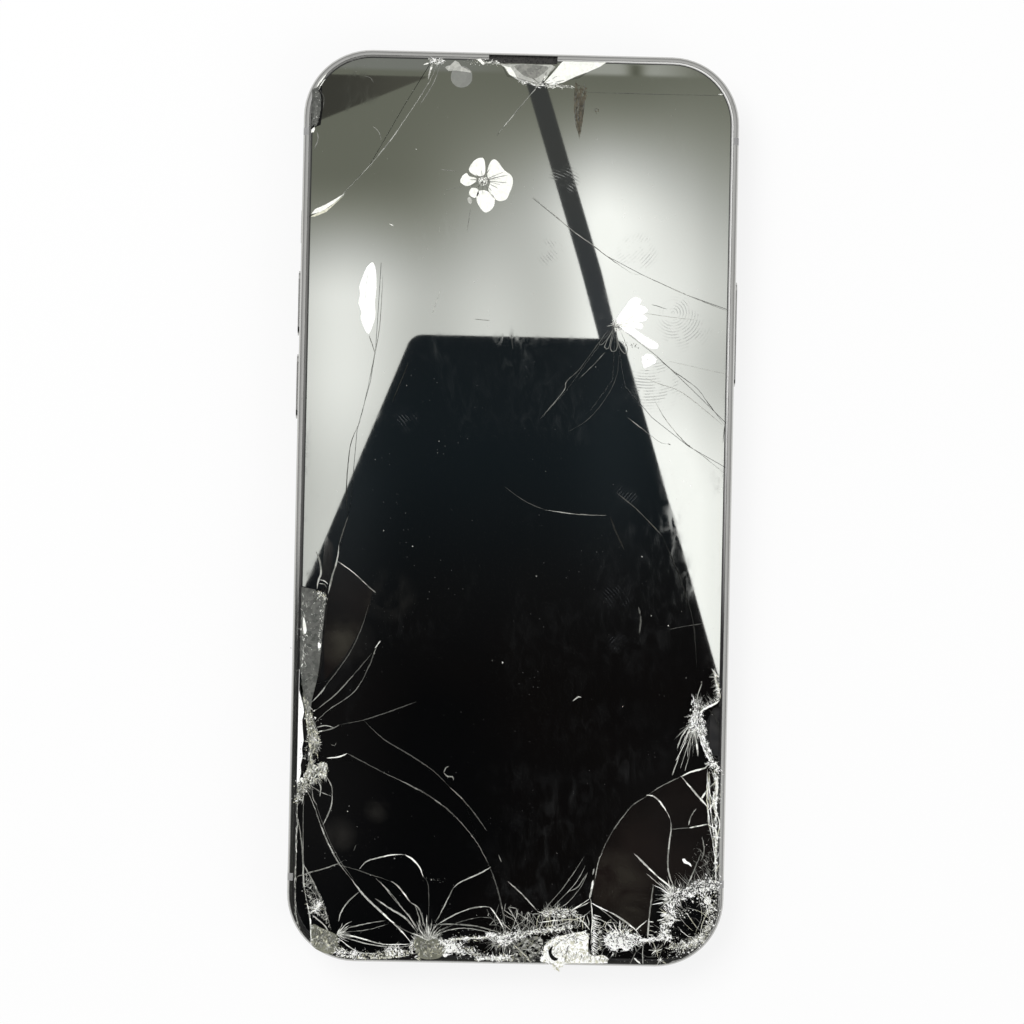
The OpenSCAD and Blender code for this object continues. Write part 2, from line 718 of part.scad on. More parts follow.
module mute_switch() {
    color("silver") on_side(-1) translate([0, mute_y, mute_rest_z]) {
        along_x(cavity_x - flange_t + 0.1, half_w + 0.2) rounded_rect(mute_knob[0], mute_knob[1], 0.4);
        along_x(cavity_x - flange_t, cavity_x - 0.05) rounded_rect(mute_knob[0] + 1.4, mute_flange_h, 0.4);
    }
}

module switch_body(y, x1) block([switch_x - switch_t, y - 2.2, mid_z - 1.3], [x1, y + 2.2, mid_z + 1.3]);

module side_switches() {
    back_x = switch_x - switch_t;
    color([0.2, 0.2, 0.2]) {
        switch_body(power_y, switch_x);
        on_side(-1) {
            switch_body(volume_up_y, switch_x);
            switch_body(volume_down_y, switch_x);
            switch_body(mute_y, cavity_x - flange_t - 0.15);
            block([back_x - 0.15, volume_down_y - 3, mid_z - 0.9], [back_x + 0.05, mute_y + 3, mid_z + 0.9]);
        }
    }
}

// Bottom end

module vibration_case() {
    w = vibration_wall;
    color("lightgray") difference() {
        block([vibration_x0, vibration_y0, vibration_z0], [vibration_x1, vibration_y1, vibration_z1]);
        block(
            [vibration_x0 + w, vibration_y0 + w, vibration_z0 + w],
            [vibration_x1 - w, vibration_y1 - w, vibration_z1 + 1]
        );
    }
}

module vibration_mass() {
    gap = [vibration_wall + vibration_travel + 0.4, vibration_wall + 0.25, vibration_wall + 0.25];
    low = [vibration_x0, vibration_y0, vibration_z0];
    high = [vibration_x1, vibration_y1, vibration_z1 + vibration_wall];
    color([0.4, 0.4, 0.38]) block(low + gap, high - gap);
}

module vibration_cover() {
    color("silver")
        block([vibration_x0, vibration_y0, vibration_z1], [vibration_x1, vibration_y1, vibration_z1 + 0.25]);
}

// Enclosure that follows the corner, with the diaphragm's recess on top
module loudspeaker() {
    color([0.12, 0.12, 0.12]) difference() {
        intersection() {
            slab(wall_t + 0.5, plate_z1 + 0.1, inner_top);
            block([speaker_x0, -half_l, 0], [half_w, speaker_y1, front_z]);
        }
        translate([(speaker_x0 + cavity_x) / 2, speaker_y1 - 6.5, inner_top - 0.4]) linear_extrude(1)
            rounded_rect(cavity_x - speaker_x0 - 5, 8, 2);
    }
}

module speaker_meshes() {
    for (side = [-1, 1])
        color([0.15, 0.15, 0.15]) on_side(side)
            block([sound_x0 - 1, -cavity_y, mid_z - 1], [sound_x1 + 1, -cavity_y + 0.2, mid_z + 1]);
}

module charge_port_shell() {
    color("gray") translate([0, 0, mid_z]) along_y(-half_l + 0.4, -half_l + 7.6) difference() {
        pill(port_w, port_h);
        pill(port_w - 0.6, port_h - 0.6);
    }
}

module port_tongue() {
    color([0.1, 0.1, 0.1]) translate([0, 0, mid_z]) {
        along_y(-half_l + 6.4, -half_l + 7.5) pill(port_w - 0.64, port_h - 0.64);
        along_y(-half_l + 1.3, -half_l + 6.5) square([port_w - 2.25, 0.7], center = true);
    }
}

module bottom_flex() {
    z = [plate_z1 + 0.1, plate_z1 + 0.3];
    color([0.8, 0.55, 0.15]) {
        block([-flex_half_w, -cavity_y + 0.8, z[0]], [flex_half_w, battery_y0 - 1.2, z[1]]);
        block(
            [flex_half_w - flex_overlap, -cavity_y + 4, z[0]],
            [speaker_x0 - speaker_gap, battery_y0 - 1.2, z[1]]
        );
        block([battery_x1 + 0.3, -cavity_y + 4, z[0]], [speaker_x0 - speaker_gap, board_y0 - 0.2, z[1]]);
    }
}

module bottom_microphone() {
    color("lightgray") block([-16, -cavity_y + 0.3, mid_z - 1.2], [-12.6, vibration_y0 - 0.2, mid_z + 1.2]);
}

module bottom_screws() {
    for (side = [-1, 1])
        color("silver") on_side(side) translate([screw_x, 0, mid_z]) difference() {
            union() {
                along_y(-half_l + 0.3, -half_l + 0.3 + screw_head[1]) circle(screw_head[0]);
                along_y(-half_l + 0.5, -half_l + 4.2) circle(screw_shank_r);
            }
            along_y(-half_l, -half_l + 0.65)
                for (turn = [0, 60, 120]) rotate(turn) square([1.3, 0.3], center = true);
        }
}

frame();
antenna_bands();
back_glass();
camera_plateau();
lens_ring(upper_y);  // lens_ring_upper
lens_ring(lower_y);  // lens_ring_lower
lens_glass(upper_y);  // lens_glass_upper
lens_glass(lower_y);  // lens_glass_lower
rear_camera(upper_y);  // rear_camera_upper
rear_camera(lower_y);  // rear_camera_lower
lens_barrel(upper_y);  // lens_barrel_upper
lens_barrel(lower_y);  // lens_barrel_lower
camera_bracket();
flash_lens();
flash_led();
cover_glass();
display_bezel();
display_panel();
display_backing();
display_gasket();
earpiece_mesh();
earpiece_speaker();
front_camera();
proximity_sensor();
sensor_bracket();
battery();
battery_adhesive();
battery_tab();
logic_board();
board_shields();
board_screws();
connector_cover();
display_flex();
sim_reader();
sim_tray();
wireless_coil();
power_button();
volume_up_button();
volume_down_button();
mute_switch();
side_switches();
vibration_case();
vibration_mass();
vibration_cover();
loudspeaker();
speaker_meshes();
charge_port_shell();
port_tongue();
bottom_flex();
bottom_microphone();
bottom_screws();
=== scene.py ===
"""Looks of a phone with a shattered front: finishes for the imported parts, and the damage on the glass."""

import json
import math
import random

import bpy
from mathutils import Euler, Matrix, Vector
from mathutils.geometry import delaunay_2d_cdt, tessellate_polygon

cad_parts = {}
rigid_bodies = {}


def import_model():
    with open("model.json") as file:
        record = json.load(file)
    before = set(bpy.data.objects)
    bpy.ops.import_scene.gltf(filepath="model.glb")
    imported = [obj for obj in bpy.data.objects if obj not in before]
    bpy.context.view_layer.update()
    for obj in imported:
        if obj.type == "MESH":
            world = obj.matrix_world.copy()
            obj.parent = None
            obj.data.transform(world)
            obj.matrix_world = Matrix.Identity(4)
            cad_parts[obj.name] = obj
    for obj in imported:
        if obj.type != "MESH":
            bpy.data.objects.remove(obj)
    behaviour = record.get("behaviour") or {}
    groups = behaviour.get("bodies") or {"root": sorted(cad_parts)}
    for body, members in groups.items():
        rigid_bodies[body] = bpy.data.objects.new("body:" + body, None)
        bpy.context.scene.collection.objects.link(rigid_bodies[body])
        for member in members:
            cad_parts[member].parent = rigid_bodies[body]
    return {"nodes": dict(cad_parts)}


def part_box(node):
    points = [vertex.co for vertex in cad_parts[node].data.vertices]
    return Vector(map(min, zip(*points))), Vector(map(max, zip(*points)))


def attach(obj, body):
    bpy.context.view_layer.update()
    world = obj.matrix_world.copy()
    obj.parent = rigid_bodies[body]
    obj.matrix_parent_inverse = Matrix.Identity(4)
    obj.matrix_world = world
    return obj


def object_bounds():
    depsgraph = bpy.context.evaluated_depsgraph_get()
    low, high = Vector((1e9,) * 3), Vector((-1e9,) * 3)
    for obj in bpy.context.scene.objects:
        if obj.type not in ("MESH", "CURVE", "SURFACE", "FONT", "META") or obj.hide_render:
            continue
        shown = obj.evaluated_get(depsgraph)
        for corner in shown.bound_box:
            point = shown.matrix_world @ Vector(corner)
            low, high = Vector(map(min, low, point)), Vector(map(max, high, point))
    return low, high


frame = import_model()
nodes = frame["nodes"]
cad_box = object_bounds()

MM = 0.001
GLASS_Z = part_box("cover_glass")[1].z / MM
GLASS_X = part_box("cover_glass")[1].x / MM
GLASS_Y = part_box("cover_glass")[1].y / MM
rng = random.Random(4)


# ---------------------------------------------------------------- shader help


class Shader:
    """A node material in the making. Lengths in textures are metres of the object."""

    def __init__(self, name):
        self.material = bpy.data.materials.new(name)
        self.material.use_nodes = True
        self.tree = self.material.node_tree
        self.tree.nodes.clear()
        self.out = self.node("OutputMaterial")
        self.place = self.node("TexCoord").outputs["Object"]
        apart = self.node("SeparateXYZ")
        self.put(self.place, apart.inputs[0])
        self.across, self.along, self.up = apart.outputs

    def node(self, kind, **settings):
        made = self.tree.nodes.new("ShaderNode" + kind)
        for key, value in settings.items():
            setattr(made, key, value)
        return made

    def put(self, value, socket):
        if isinstance(value, bpy.types.NodeSocket):
            self.tree.links.new(value, socket)
        elif isinstance(value, tuple) and socket.type == "RGBA":
            socket.default_value = (*value, 1.0)
        else:
            socket.default_value = value

    def math(self, operation, a, b=0.0, clamp=False):
        made = self.node("Math", operation=operation, use_clamp=clamp)
        self.put(a, made.inputs[0])
        self.put(b, made.inputs[1])
        return made.outputs[0]

    def stretched(self, scale):
        made = self.node("Mapping")
        self.put(self.place, made.inputs["Vector"])
        made.inputs["Scale"].default_value = scale
        return made.outputs[0]

    def noise(self, per_metre, detail=3.0, stretch=None, twist=0.0):
        made = self.node("TexNoise")
        self.put(self.stretched(stretch) if stretch else self.place, made.inputs["Vector"])
        made.inputs["Scale"].default_value = per_metre
        made.inputs["Detail"].default_value = detail
        made.inputs["Distortion"].default_value = twist
        return made.outputs["Fac"]

    def cells(self, per_metre, feature="F1", output="Distance"):
        made = self.node("TexVoronoi", feature=feature)
        self.put(self.place, made.inputs["Vector"])
        made.inputs["Scale"].default_value = per_metre
        return made.outputs[output]

    def spread(self, value, low, high, to_low=0.0, to_high=1.0):
        made = self.node("MapRange")
        self.put(value, made.inputs["Value"])
        for socket, number in (("From Min", low), ("From Max", high), ("To Min", to_low),
                               ("To Max", to_high)):
            made.inputs[socket].default_value = number
        return made.outputs[0]

    def blend(self, amount, a, b):
        made = self.node("Mix", data_type="RGBA")
        self.put(amount, made.inputs[0])
        self.put(a, made.inputs[6])
        self.put(b, made.inputs[7])
        return made.outputs[2]

    def bump(self, height, strength, depth):
        made = self.node("Bump")
        self.put(height, made.inputs["Height"])
        made.inputs["Strength"].default_value = strength
        made.inputs["Distance"].default_value = depth
        return made.outputs[0]

    def distance(self, x, y):
        """Metres from a spot on the glass, which is given in mm."""
        made = self.node("VectorMath", operation="DISTANCE")
        self.put(self.place, made.inputs[0])
        made.inputs[1].default_value = (x * MM, y * MM, GLASS_Z * MM)
        return made.outputs["Value"]

    def rings(self, per_metre):
        made = self.node("TexWave", wave_type="RINGS", rings_direction="Z")
        self.put(self.stretched((1, 1, 0)), made.inputs["Vector"])
        made.inputs["Scale"].default_value = per_metre
        return made.outputs["Fac"]

    def glow(self, colour, strength=1.0):
        made = self.node("Emission")
        self.put(colour, made.inputs["Color"])
        made.inputs["Strength"].default_value = strength
        return made.outputs[0]

    def shown(self, shader):
        self.tree.links.new(shader, self.out.inputs["Surface"])
        return self.material

    def surface(self, **values):
        made = self.node("BsdfPrincipled")
        for key, value in values.items():
            self.put(value, made.inputs[key.replace("_", " ")])
        return self.shown(made.outputs[0])


def finish(name, dark, light, patch, rough, grain, bump=0.0, stretch=None, **sockets):
    """Two colours blended in patches, with a grain that moves the roughness and the bump."""
    s = Shader(name)
    patches = s.noise(1 / (patch * MM), 4.0, stretch)
    fine = s.noise(1 / (grain * MM), 3.0, stretch)
    colour = s.blend(s.spread(patches, 0.3, 0.7), dark, light)
    extra = {"Normal": s.bump(fine, bump, 0.05 * MM)} if bump else {}
    return s.surface(Base_Color=colour, Roughness=s.spread(fine, 0.3, 0.7, *rough), **extra, **sockets)


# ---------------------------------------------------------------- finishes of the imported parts


def polished_steel():
    s = Shader("polished_steel")
    smears = s.noise(90, 4.0, twist=0.6)
    scratches = s.noise(5200, 2.0, stretch=(1, 0.06, 1))
    nicks = s.cells(420)
    worn = s.spread(smears, 0.42, 0.68)
    colour = s.blend(worn, (0.56, 0.559, 0.54), (0.535, 0.532, 0.512))
    colour = s.blend(s.spread(nicks, 0.0, 0.07, 0.5, 0.0), colour, (0.2, 0.19, 0.17))
    rough = s.math("ADD", s.spread(smears, 0.35, 0.7, 0.1, 0.15), s.spread(scratches, 0.5, 0.7, 0.0, 0.08))
    return s.surface(
        Base_Color=colour,
        Metallic=1.0,
        Roughness=rough,
        Normal=s.bump(scratches, 0.12, 0.01 * MM),
    )


# Where the glass is milky from cracks inside it: x, y and radius in mm
MILKY = ((17.5, -60.5, 6.5), (20, -65, 4.6), (-27, -53, 3.2), (-21, -49, 2.4), (-26.5, -22, 5),
         (-20, -14.5, 5))


def milk(s):
    """How milky the glass is, soft at its borders."""
    found = 0.0
    for x, y, radius in MILKY:
        near = s.spread(s.distance(x, y), 0.2 * radius * MM, radius * MM, 1.0, 0.0)
        found = s.math("MAXIMUM", found, near)
    return s.math("MULTIPLY", found, s.spread(s.noise(130, 5.0, twist=1.2), 0.4, 0.75))


# Fingertips: x, y and radius of the print in mm, then the middle of its ridges
PRINTS = (
    (19, 41.5, 3.6, 10, 50), (7, 53, 2.8, 2, 42), (22.5, 20.5, 5, 21, 30), (27, 30.5, 5, 25, 32),
    (17, -13.5, 3, 9, -20),
    (18.5, 3, 2.6, 27, -5), (-18, 14, 2.6, -26, 7), (17.5, -21, 2.2, 24, -28), (5, 41.3, 2.6, 13, 48),
)


def painted_rim_reflection(s, colour, rim, left, right):
    """A painted reflection on a rim: a pale tone along the phone's upper half, from one tone at the left to
    another at the right.
    """
    where = s.math("MULTIPLY", rim, s.spread(s.along, -0.02, 0.02))
    return s.blend(where, colour, s.blend(s.spread(s.across, -0.02, 0.03), left, right))


def screen_glass():
    """Black mirror glass. Skin oil dulls it and lifts its black a little."""
    s = Shader("screen_glass")
    clouds = s.spread(s.noise(60, 4.0, twist=0.6), 0.52, 0.72)
    wipes = s.spread(s.noise(700, 4.0, stretch=(1.0, 0.45, 1.0), twist=0.8), 0.45, 0.75)
    veil = s.math("MULTIPLY", clouds, wipes)
    broken = s.spread(s.noise(520, 3.0), 0.42, 0.58)
    prints = 0.0
    for x, y, radius, ridge_x, ridge_y in PRINTS:
        near = s.spread(s.distance(x, y), 0.55 * radius * MM, radius * MM, 1.0, 0.0)
        shifted = s.node("VectorMath", operation="SUBTRACT")
        s.put(s.place, shifted.inputs[0])
        shifted.inputs[1].default_value = (ridge_x * MM, ridge_y * MM, GLASS_Z * MM)
        ridges = s.node("TexWave", wave_type="RINGS", rings_direction="Z", wave_profile="SIN")
        s.put(shifted.outputs[0], ridges.inputs["Vector"])
        ridges.inputs["Scale"].default_value = 660
        ridges.inputs["Distortion"].default_value = 1.6
        ridges.inputs["Detail Scale"].default_value = 0.25
        lines = s.math("MULTIPLY", near, s.spread(ridges.outputs["Fac"], 0.55, 0.85))
        prints = s.math("MAXIMUM", prints, lines)
    prints = s.math("MULTIPLY", prints, s.math("MULTIPLY", broken, 0.75))
    dust = s.spread(s.cells(900), 0.0, 0.09, 1.0, 0.0)
    dust = s.math("MULTIPLY", dust, s.spread(s.noise(130, 2.0), 0.5, 0.62))
    black = s.blend(s.spread(s.noise(26, 2.0), 0.4, 0.6), (0.0014, 0.0015, 0.0017), (0.0026, 0.0022, 0.0021))
    colour = s.blend(s.math("MULTIPLY", veil, 0.36), black, (0.02, 0.021, 0.022))
    colour = s.blend(prints, colour, (0.02, 0.021, 0.023))
    colour = s.blend(milk(s), colour, (0.02, 0.019, 0.017))
    colour = s.blend(s.math("MULTIPLY", dust, 0.4), colour, (0.3, 0.3, 0.29))
    # Painted reflection: the glass's rounded rim is pale over the phone's upper half, as if it mirrored the
    # light above, grey at the left and near white at the right.
    rim = s.spread(s.up, (GLASS_Z - 0.12) * MM, (GLASS_Z - 0.015) * MM, 1.0, 0.0)
    colour = painted_rim_reflection(s, colour, rim, (0.12, 0.12, 0.113), (0.62, 0.62, 0.6))
    rough = s.math("ADD", s.spread(veil, 0.0, 1.0, 0.015, 0.075), s.spread(prints, 0.0, 1.0, 0.0, 0.07))
    sheen = s.spread(prints, 0.0, 0.75, 0.5, 0.37)
    return s.surface(Base_Color=colour, Roughness=rough, IOR=1.52, Specular_IOR_Level=sheen)


def bezel_plastic():
    """Black plastic. Its exposed rim carries a painted reflection, grey over the phone's upper half and paler
    toward the right.
    """
    s = Shader("bezel_plastic")
    grime = s.spread(s.noise(500, 3.0), 0.35, 0.65)
    colour = s.blend(grime, (0.012, 0.012, 0.013), (0.03, 0.029, 0.028))
    rim = s.spread(s.up, 8.25 * MM, 8.45 * MM)
    # Painted reflection on the exposed rim: pale over the phone's upper half, paler toward the right.
    colour = painted_rim_reflection(s, colour, rim, (0.2, 0.2, 0.19), (0.85, 0.85, 0.83))
    return s.surface(Base_Color=colour, Roughness=s.spread(grime, 0.0, 1.0, 0.45, 0.7))


def back_glass():
    s = Shader("back_glass")
    clouds = s.spread(s.noise(60, 3.0, twist=0.5), 0.45, 0.75)
    dust = s.spread(s.cells(700), 0.0, 0.1, 1.0, 0.0)
    dust = s.math("MULTIPLY", dust, s.spread(s.noise(150, 2.0), 0.45, 0.6))
    rubs = s.spread(s.noise(2600, 2.0, stretch=(0.08, 1.0, 1.0), twist=0.3), 0.62, 0.74)
    rubs = s.math("MULTIPLY", rubs, s.spread(s.noise(70, 2.0), 0.5, 0.62))
    colour = s.blend(clouds, (0.012, 0.013, 0.015), (0.022, 0.023, 0.025))
    colour = s.blend(s.math("MULTIPLY", dust, 0.5), colour, (0.35, 0.34, 0.32))
    colour = s.blend(s.math("MULTIPLY", rubs, 0.35), colour, (0.2, 0.2, 0.2))
    return s.surface(Base_Color=colour, Roughness=s.spread(clouds, 0.0, 1.0, 0.06, 0.2), IOR=1.52)


def lens_glass():
    s = Shader("lens_glass")
    smear = s.spread(s.noise(300, 3.0, twist=0.8), 0.45, 0.7)
    return s.surface(
        Base_Color=s.blend(smear, (0.5, 0.52, 0.58), (0.42, 0.4, 0.5)),
        Roughness=0.02,
        IOR=1.52,
        Transmission_Weight=1.0,
    )


def flash_lens():
    s = Shader("flash_lens")
    facets = s.cells(2600, output="Color")
    return s.surface(
        Base_Color=s.blend(facets, (0.86, 0.82, 0.66), (0.93, 0.92, 0.86)),
        Roughness=0.25,
        Normal=s.bump(s.rings(500), 0.5, 0.08 * MM),
    )


def woven_mesh():
    s = Shader("fine_mesh")
    holes = s.cells(3600)
    return s.surface(
        Base_Color=s.blend(s.spread(holes, 0.25, 0.45), (0.004, 0.004, 0.004), (0.05, 0.048, 0.045)),
        Roughness=0.5,
        Normal=s.bump(holes, 0.6, 0.05 * MM),
    )


def copper_coil():
    s = Shader("copper_coil")
    turns = s.rings(300)
    colour = s.blend(turns, (0.3, 0.11, 0.04), (0.78, 0.4, 0.19))
    return s.surface(Base_Color=colour, Metallic=1.0, Roughness=0.3, Normal=s.bump(turns, 0.4, 0.1 * MM))


def circuit_board():
    s = Shader("board_green")
    tracks = s.spread(s.cells(700, feature="DISTANCE_TO_EDGE"), 0.02, 0.05)
    colour = s.blend(tracks, (0.06, 0.24, 0.13), (0.02, 0.11, 0.06))
    return s.surface(Base_Color=colour, Roughness=0.35, Normal=s.bump(tracks, 0.3, 0.04 * MM))


FINISHES = {
    "polished_steel": polished_steel(),
    "cover_glass": screen_glass(),
    "back_glass": back_glass(),
    "lens_glass": lens_glass(),
    "flash_lens": flash_lens(),
    "fine_mesh": woven_mesh(),
    "copper_coil": copper_coil(),
    "board_green": circuit_board(),
    "antenna_plastic": finish("antenna_plastic", (0.25, 0.25, 0.25), (0.33, 0.33, 0.325), 3, (0.25, 0.4),
                              0.15, 0.1),
    "bezel_plastic": bezel_plastic(),
    "display_black": finish("display_black", (0.004, 0.004, 0.005), (0.012, 0.011, 0.01), 4, (0.15, 0.4), 0.3,
                            0.1),
    "graphite_sheet": finish("graphite_sheet", (0.07, 0.07, 0.073), (0.12, 0.12, 0.125), 6, (0.5, 0.7), 0.2,
                             0.2),
    "gasket_foam": finish("gasket_foam", (0.03, 0.03, 0.03), (0.06, 0.06, 0.058), 0.8, (0.8, 0.95), 0.1, 0.6),
    "module_black": finish("module_black", (0.02, 0.02, 0.022), (0.045, 0.045, 0.05), 1.5, (0.4, 0.6), 0.12,
                           0.3),
    "sheet_steel": finish(
        "sheet_steel", (0.45, 0.45, 0.45), (0.62, 0.62, 0.61), 3, (0.25, 0.45), 0.1, 0.1, (1, 0.1, 1),
        Metallic=1.0
    ),
    "battery_film": finish("battery_film", (0.03, 0.03, 0.034), (0.05, 0.05, 0.054), 9, (0.25, 0.45), 0.6,
                           0.15),
    "white_adhesive": finish("white_adhesive", (0.7, 0.7, 0.67), (0.86, 0.86, 0.84), 2, (0.5, 0.7), 0.3, 0.3),
    "flex_amber": finish("flex_amber", (0.33, 0.16, 0.03), (0.5, 0.27, 0.06), 1.2, (0.25, 0.4), 0.2, 0.1),
    "tin_shield": finish("tin_shield", (0.42, 0.42, 0.41), (0.58, 0.58, 0.56), 4, (0.3, 0.5), 0.2, 0.15,
                         Metallic=1.0),
    "screw_steel": finish("screw_steel", (0.38, 0.38, 0.38), (0.55, 0.55, 0.54), 0.4, (0.2, 0.4), 0.06, 0.1,
                          Metallic=1.0),
    "led_yellow": finish("led_yellow", (0.75, 0.58, 0.1), (0.9, 0.78, 0.28), 0.3, (0.3, 0.5), 0.08, 0.2),
    "tungsten": finish("tungsten", (0.2, 0.2, 0.195), (0.32, 0.32, 0.31), 0.5, (0.45, 0.65), 0.1, 0.4,
                       Metallic=1.0),
}

for node in nodes.values():
    for spot in node.material_slots:
        spot.material = FINISHES[spot.material.name.split(".")[0]]


# ---------------------------------------------------------------- finishes of the damage


def crushed(name, dark, light, rough=(0.2, 0.5), specular=0.4, grain=0.35):
    """Broken glass seen as light scattered in its cracks."""
    s = Shader(name)
    lumps = s.cells(1 / (grain * MM), output="Color")
    fine = s.noise(1 / (0.2 * grain * MM), 3.0)
    mixed = s.math("ADD", s.math("MULTIPLY", lumps, 0.55), s.math("MULTIPLY", fine, 0.6), clamp=True)
    return s.surface(
        Base_Color=s.blend(s.spread(mixed, 0.3, 0.8), dark, light),
        Roughness=s.spread(fine, 0.3, 0.7, *rough),
        Specular_IOR_Level=specular,
        Normal=s.bump(mixed, 0.3, 0.05 * MM),
    )


def tinted_glass(name, dark, light):
    s = Shader(name)
    colour = s.blend(s.spread(s.noise(95, 3.0), 0.35, 0.65), dark, light)
    return s.surface(Base_Color=s.blend(milk(s), colour, (0.034, 0.031, 0.024)), Roughness=0.03, IOR=1.52)


TONES = {
    "white": crushed("glass_white", (0.95, 0.95, 0.93), (0.99, 0.99, 0.98)),
    "bright": crushed("glass_bright", (0.76, 0.77, 0.71), (0.93, 0.93, 0.88)),
    "cream": crushed("glass_cream", (0.42, 0.41, 0.3), (0.72, 0.71, 0.58)),
    "pale": crushed("glass_pale", (0.3, 0.305, 0.28), (0.52, 0.52, 0.48), specular=0.2),
    "grey": crushed("glass_grey", (0.14, 0.143, 0.13), (0.27, 0.27, 0.245), specular=0.1),
    "facet": crushed("glass_facet", (0.1, 0.103, 0.078), (0.22, 0.22, 0.165), specular=0.2, grain=1.3),
    "dim": crushed("glass_dim", (0.045, 0.046, 0.042), (0.11, 0.11, 0.1), specular=0.1),
    "faint": crushed("glass_faint", (0.012, 0.012, 0.011), (0.034, 0.034, 0.031), specular=0.0),
    "ink": crushed("glass_gap", (0.002, 0.002, 0.002), (0.006, 0.005, 0.005), specular=0.1),
    "glue": crushed("old_adhesive", (0.045, 0.047, 0.043), (0.12, 0.122, 0.112), (0.5, 0.7), 0.2, 0.5),
    "dirt": crushed("dry_dirt", (0.03, 0.026, 0.018), (0.12, 0.105, 0.075), (0.6, 0.9), 0.1),
    "shard": tinted_glass("brown_shard", (0.0035, 0.0026, 0.0023), (0.0095, 0.0066, 0.0056)),
    "veil": crushed("milky_glass", (0.11, 0.112, 0.11), (0.145, 0.147, 0.142), (0.1, 0.2), 0.5, 2.0),
}
TONE_ORDER = list(TONES)


# ---------------------------------------------------------------- mesh help


def in_scene(name, data):
    made = bpy.data.objects.new(name, data)
    bpy.context.scene.collection.objects.link(made)
    return made


class Bag:
    """Collects faces for one piece, each with a tone."""

    def __init__(self):
        self.points = []
        self.faces = []
        self.tones = []

    def add(self, points, faces, tone):
        start = len(self.points)
        self.points.extend(points)
        self.faces.extend([[start + i for i in face] for face in faces])
        self.tones.extend([TONE_ORDER.index(tone)] * len(faces))

    def piece(self, name, slot="cover_glass", body="phone"):
        mesh = bpy.data.meshes.new(name)
        mesh.from_pydata([[c * MM for c in p] for p in self.points], [], self.faces)
        used = sorted(set(self.tones))
        for index in used:
            mesh.materials.append(TONES[TONE_ORDER[index]])
        mesh.polygons.foreach_set("material_index", [used.index(t) for t in self.tones])
        mesh.update()
        made = in_scene(name, mesh)
        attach(made, body)
        return made


def pick(tones):
    return tones if isinstance(tones, str) else rng.choice(tones)


def curve(points, step, closed=False):
    """Points along a smooth curve through the given ones."""
    count = len(points)
    spans = count if closed else count - 1
    found = []
    for i in range(spans):
        if closed:
            a, b, c, d = (points[(i + k) % count] for k in (-1, 0, 1, 2))
        else:
            a, b, c, d = (points[min(max(i + k, 0), count - 1)] for k in (-1, 0, 1, 2))
        pieces = max(1, math.ceil(math.dist(b, c) / step))
        for j in range(pieces):
            t = j / pieces
            found.append(
                tuple(
                    0.5 * (2 * b[k] + (c[k] - a[k]) * t + (2 * a[k] - 5 * b[k] + 4 * c[k] - d[k]) * t * t
                           + (3 * b[k] - a[k] - 3 * c[k] + d[k]) * t ** 3)
                    for k in (0, 1)
                )
            )
    if not closed:
        found.append(tuple(points[-1]))
    return found


def strand(bag, points, width, tones, wander=0.03, lift=0.02, ends=(0.2, 0.15), step=0.45, z=GLASS_Z,
           swing=0.3):
    """A thin ridge along a crack, uneven in width and brightness and pointed at its ends."""
    level = z + rng.uniform(0.003, 0.012)
    path = curve(points, step)
    last = len(path) - 1
    ring = []
    swell = 1.0
    for i, (x, y) in enumerate(path):
        ahead, behind = path[min(i + 1, last)], path[max(i - 1, 0)]
        dx, dy = ahead[0] - behind[0], ahead[1] - behind[1]
        length = math.hypot(dx, dy) or 1.0
        nx, ny = -dy / length, dx / length
        swell = min(1.4, max(0.6, swell + rng.uniform(-swing, swing)))
        t = i / max(1, last)
        taper = min(1.0, ends[0] + 4 * t, ends[1] + 4 * (1 - t))
        half = width / 2 * swell * taper
        off = rng.uniform(-wander, wander) if 0 < i < last else 0.0
        cx, cy = x + nx * off, y + ny * off
        ring += [(cx + nx * half, cy + ny * half, level), (cx, cy, level + lift),
                 (cx - nx * half, cy - ny * half, level)]
    tone = pick(tones)
    for i in range(last):
        if rng.random() < 0.3:
            tone = pick(tones)
        a = 3 * i
        bag.add(ring[a : a + 6], [(0, 1, 4, 3), (1, 2, 5, 4)], tone)


# The phone's outline a little in from its edge: where its corners' arcs start, and their radius, in mm
ARC_X, ARC_Y, ARC_R = 23.9, 62.2, 10.9


def on_phone(x, y):
    """Whether a spot is well inside the phone's outline."""
    return math.hypot(max(0.0, abs(x) - ARC_X), max(0.0, abs(y) - ARC_Y)) < ARC_R


def needle(bag, x, y, angle, length, width, tones):
    """One straight splinter from a foot at x, y. Those that would stick out over the edge are left out."""
    if not on_phone(x + math.cos(angle) * length, y + math.sin(angle) * length):
        return
    level = GLASS_Z + rng.uniform(0.004, 0.03)
    cos, sin = math.cos(angle), math.sin(angle)
    half = width / 2
    middle = (x + cos * length * 0.35, y + sin * length * 0.35)
    points = [
        (x + sin * half * 0.6, y - cos * half * 0.6, level),
        (middle[0] + sin * half, middle[1] - cos * half, level),
        (x + cos * length, y + sin * length, level),
        (middle[0] - sin * half, middle[1] + cos * half, level),
        (x - sin * half * 0.6, y + cos * half * 0.6, level),
        (middle[0], middle[1], level + half * 0.25),
    ]
    bag.add(points, [(0, 1, 5), (1, 2, 5), (2, 3, 5), (3, 4, 5), (4, 0, 5)], pick(tones))


def inside(outline, x, y):
    hit = False
    for (ax, ay), (bx, by) in zip(outline, outline[1:] + outline[:1]):
        if (ay > y) != (by > y) and x < (bx - ax) * (y - ay) / (by - ay) + ax:
            hit = not hit
    return hit


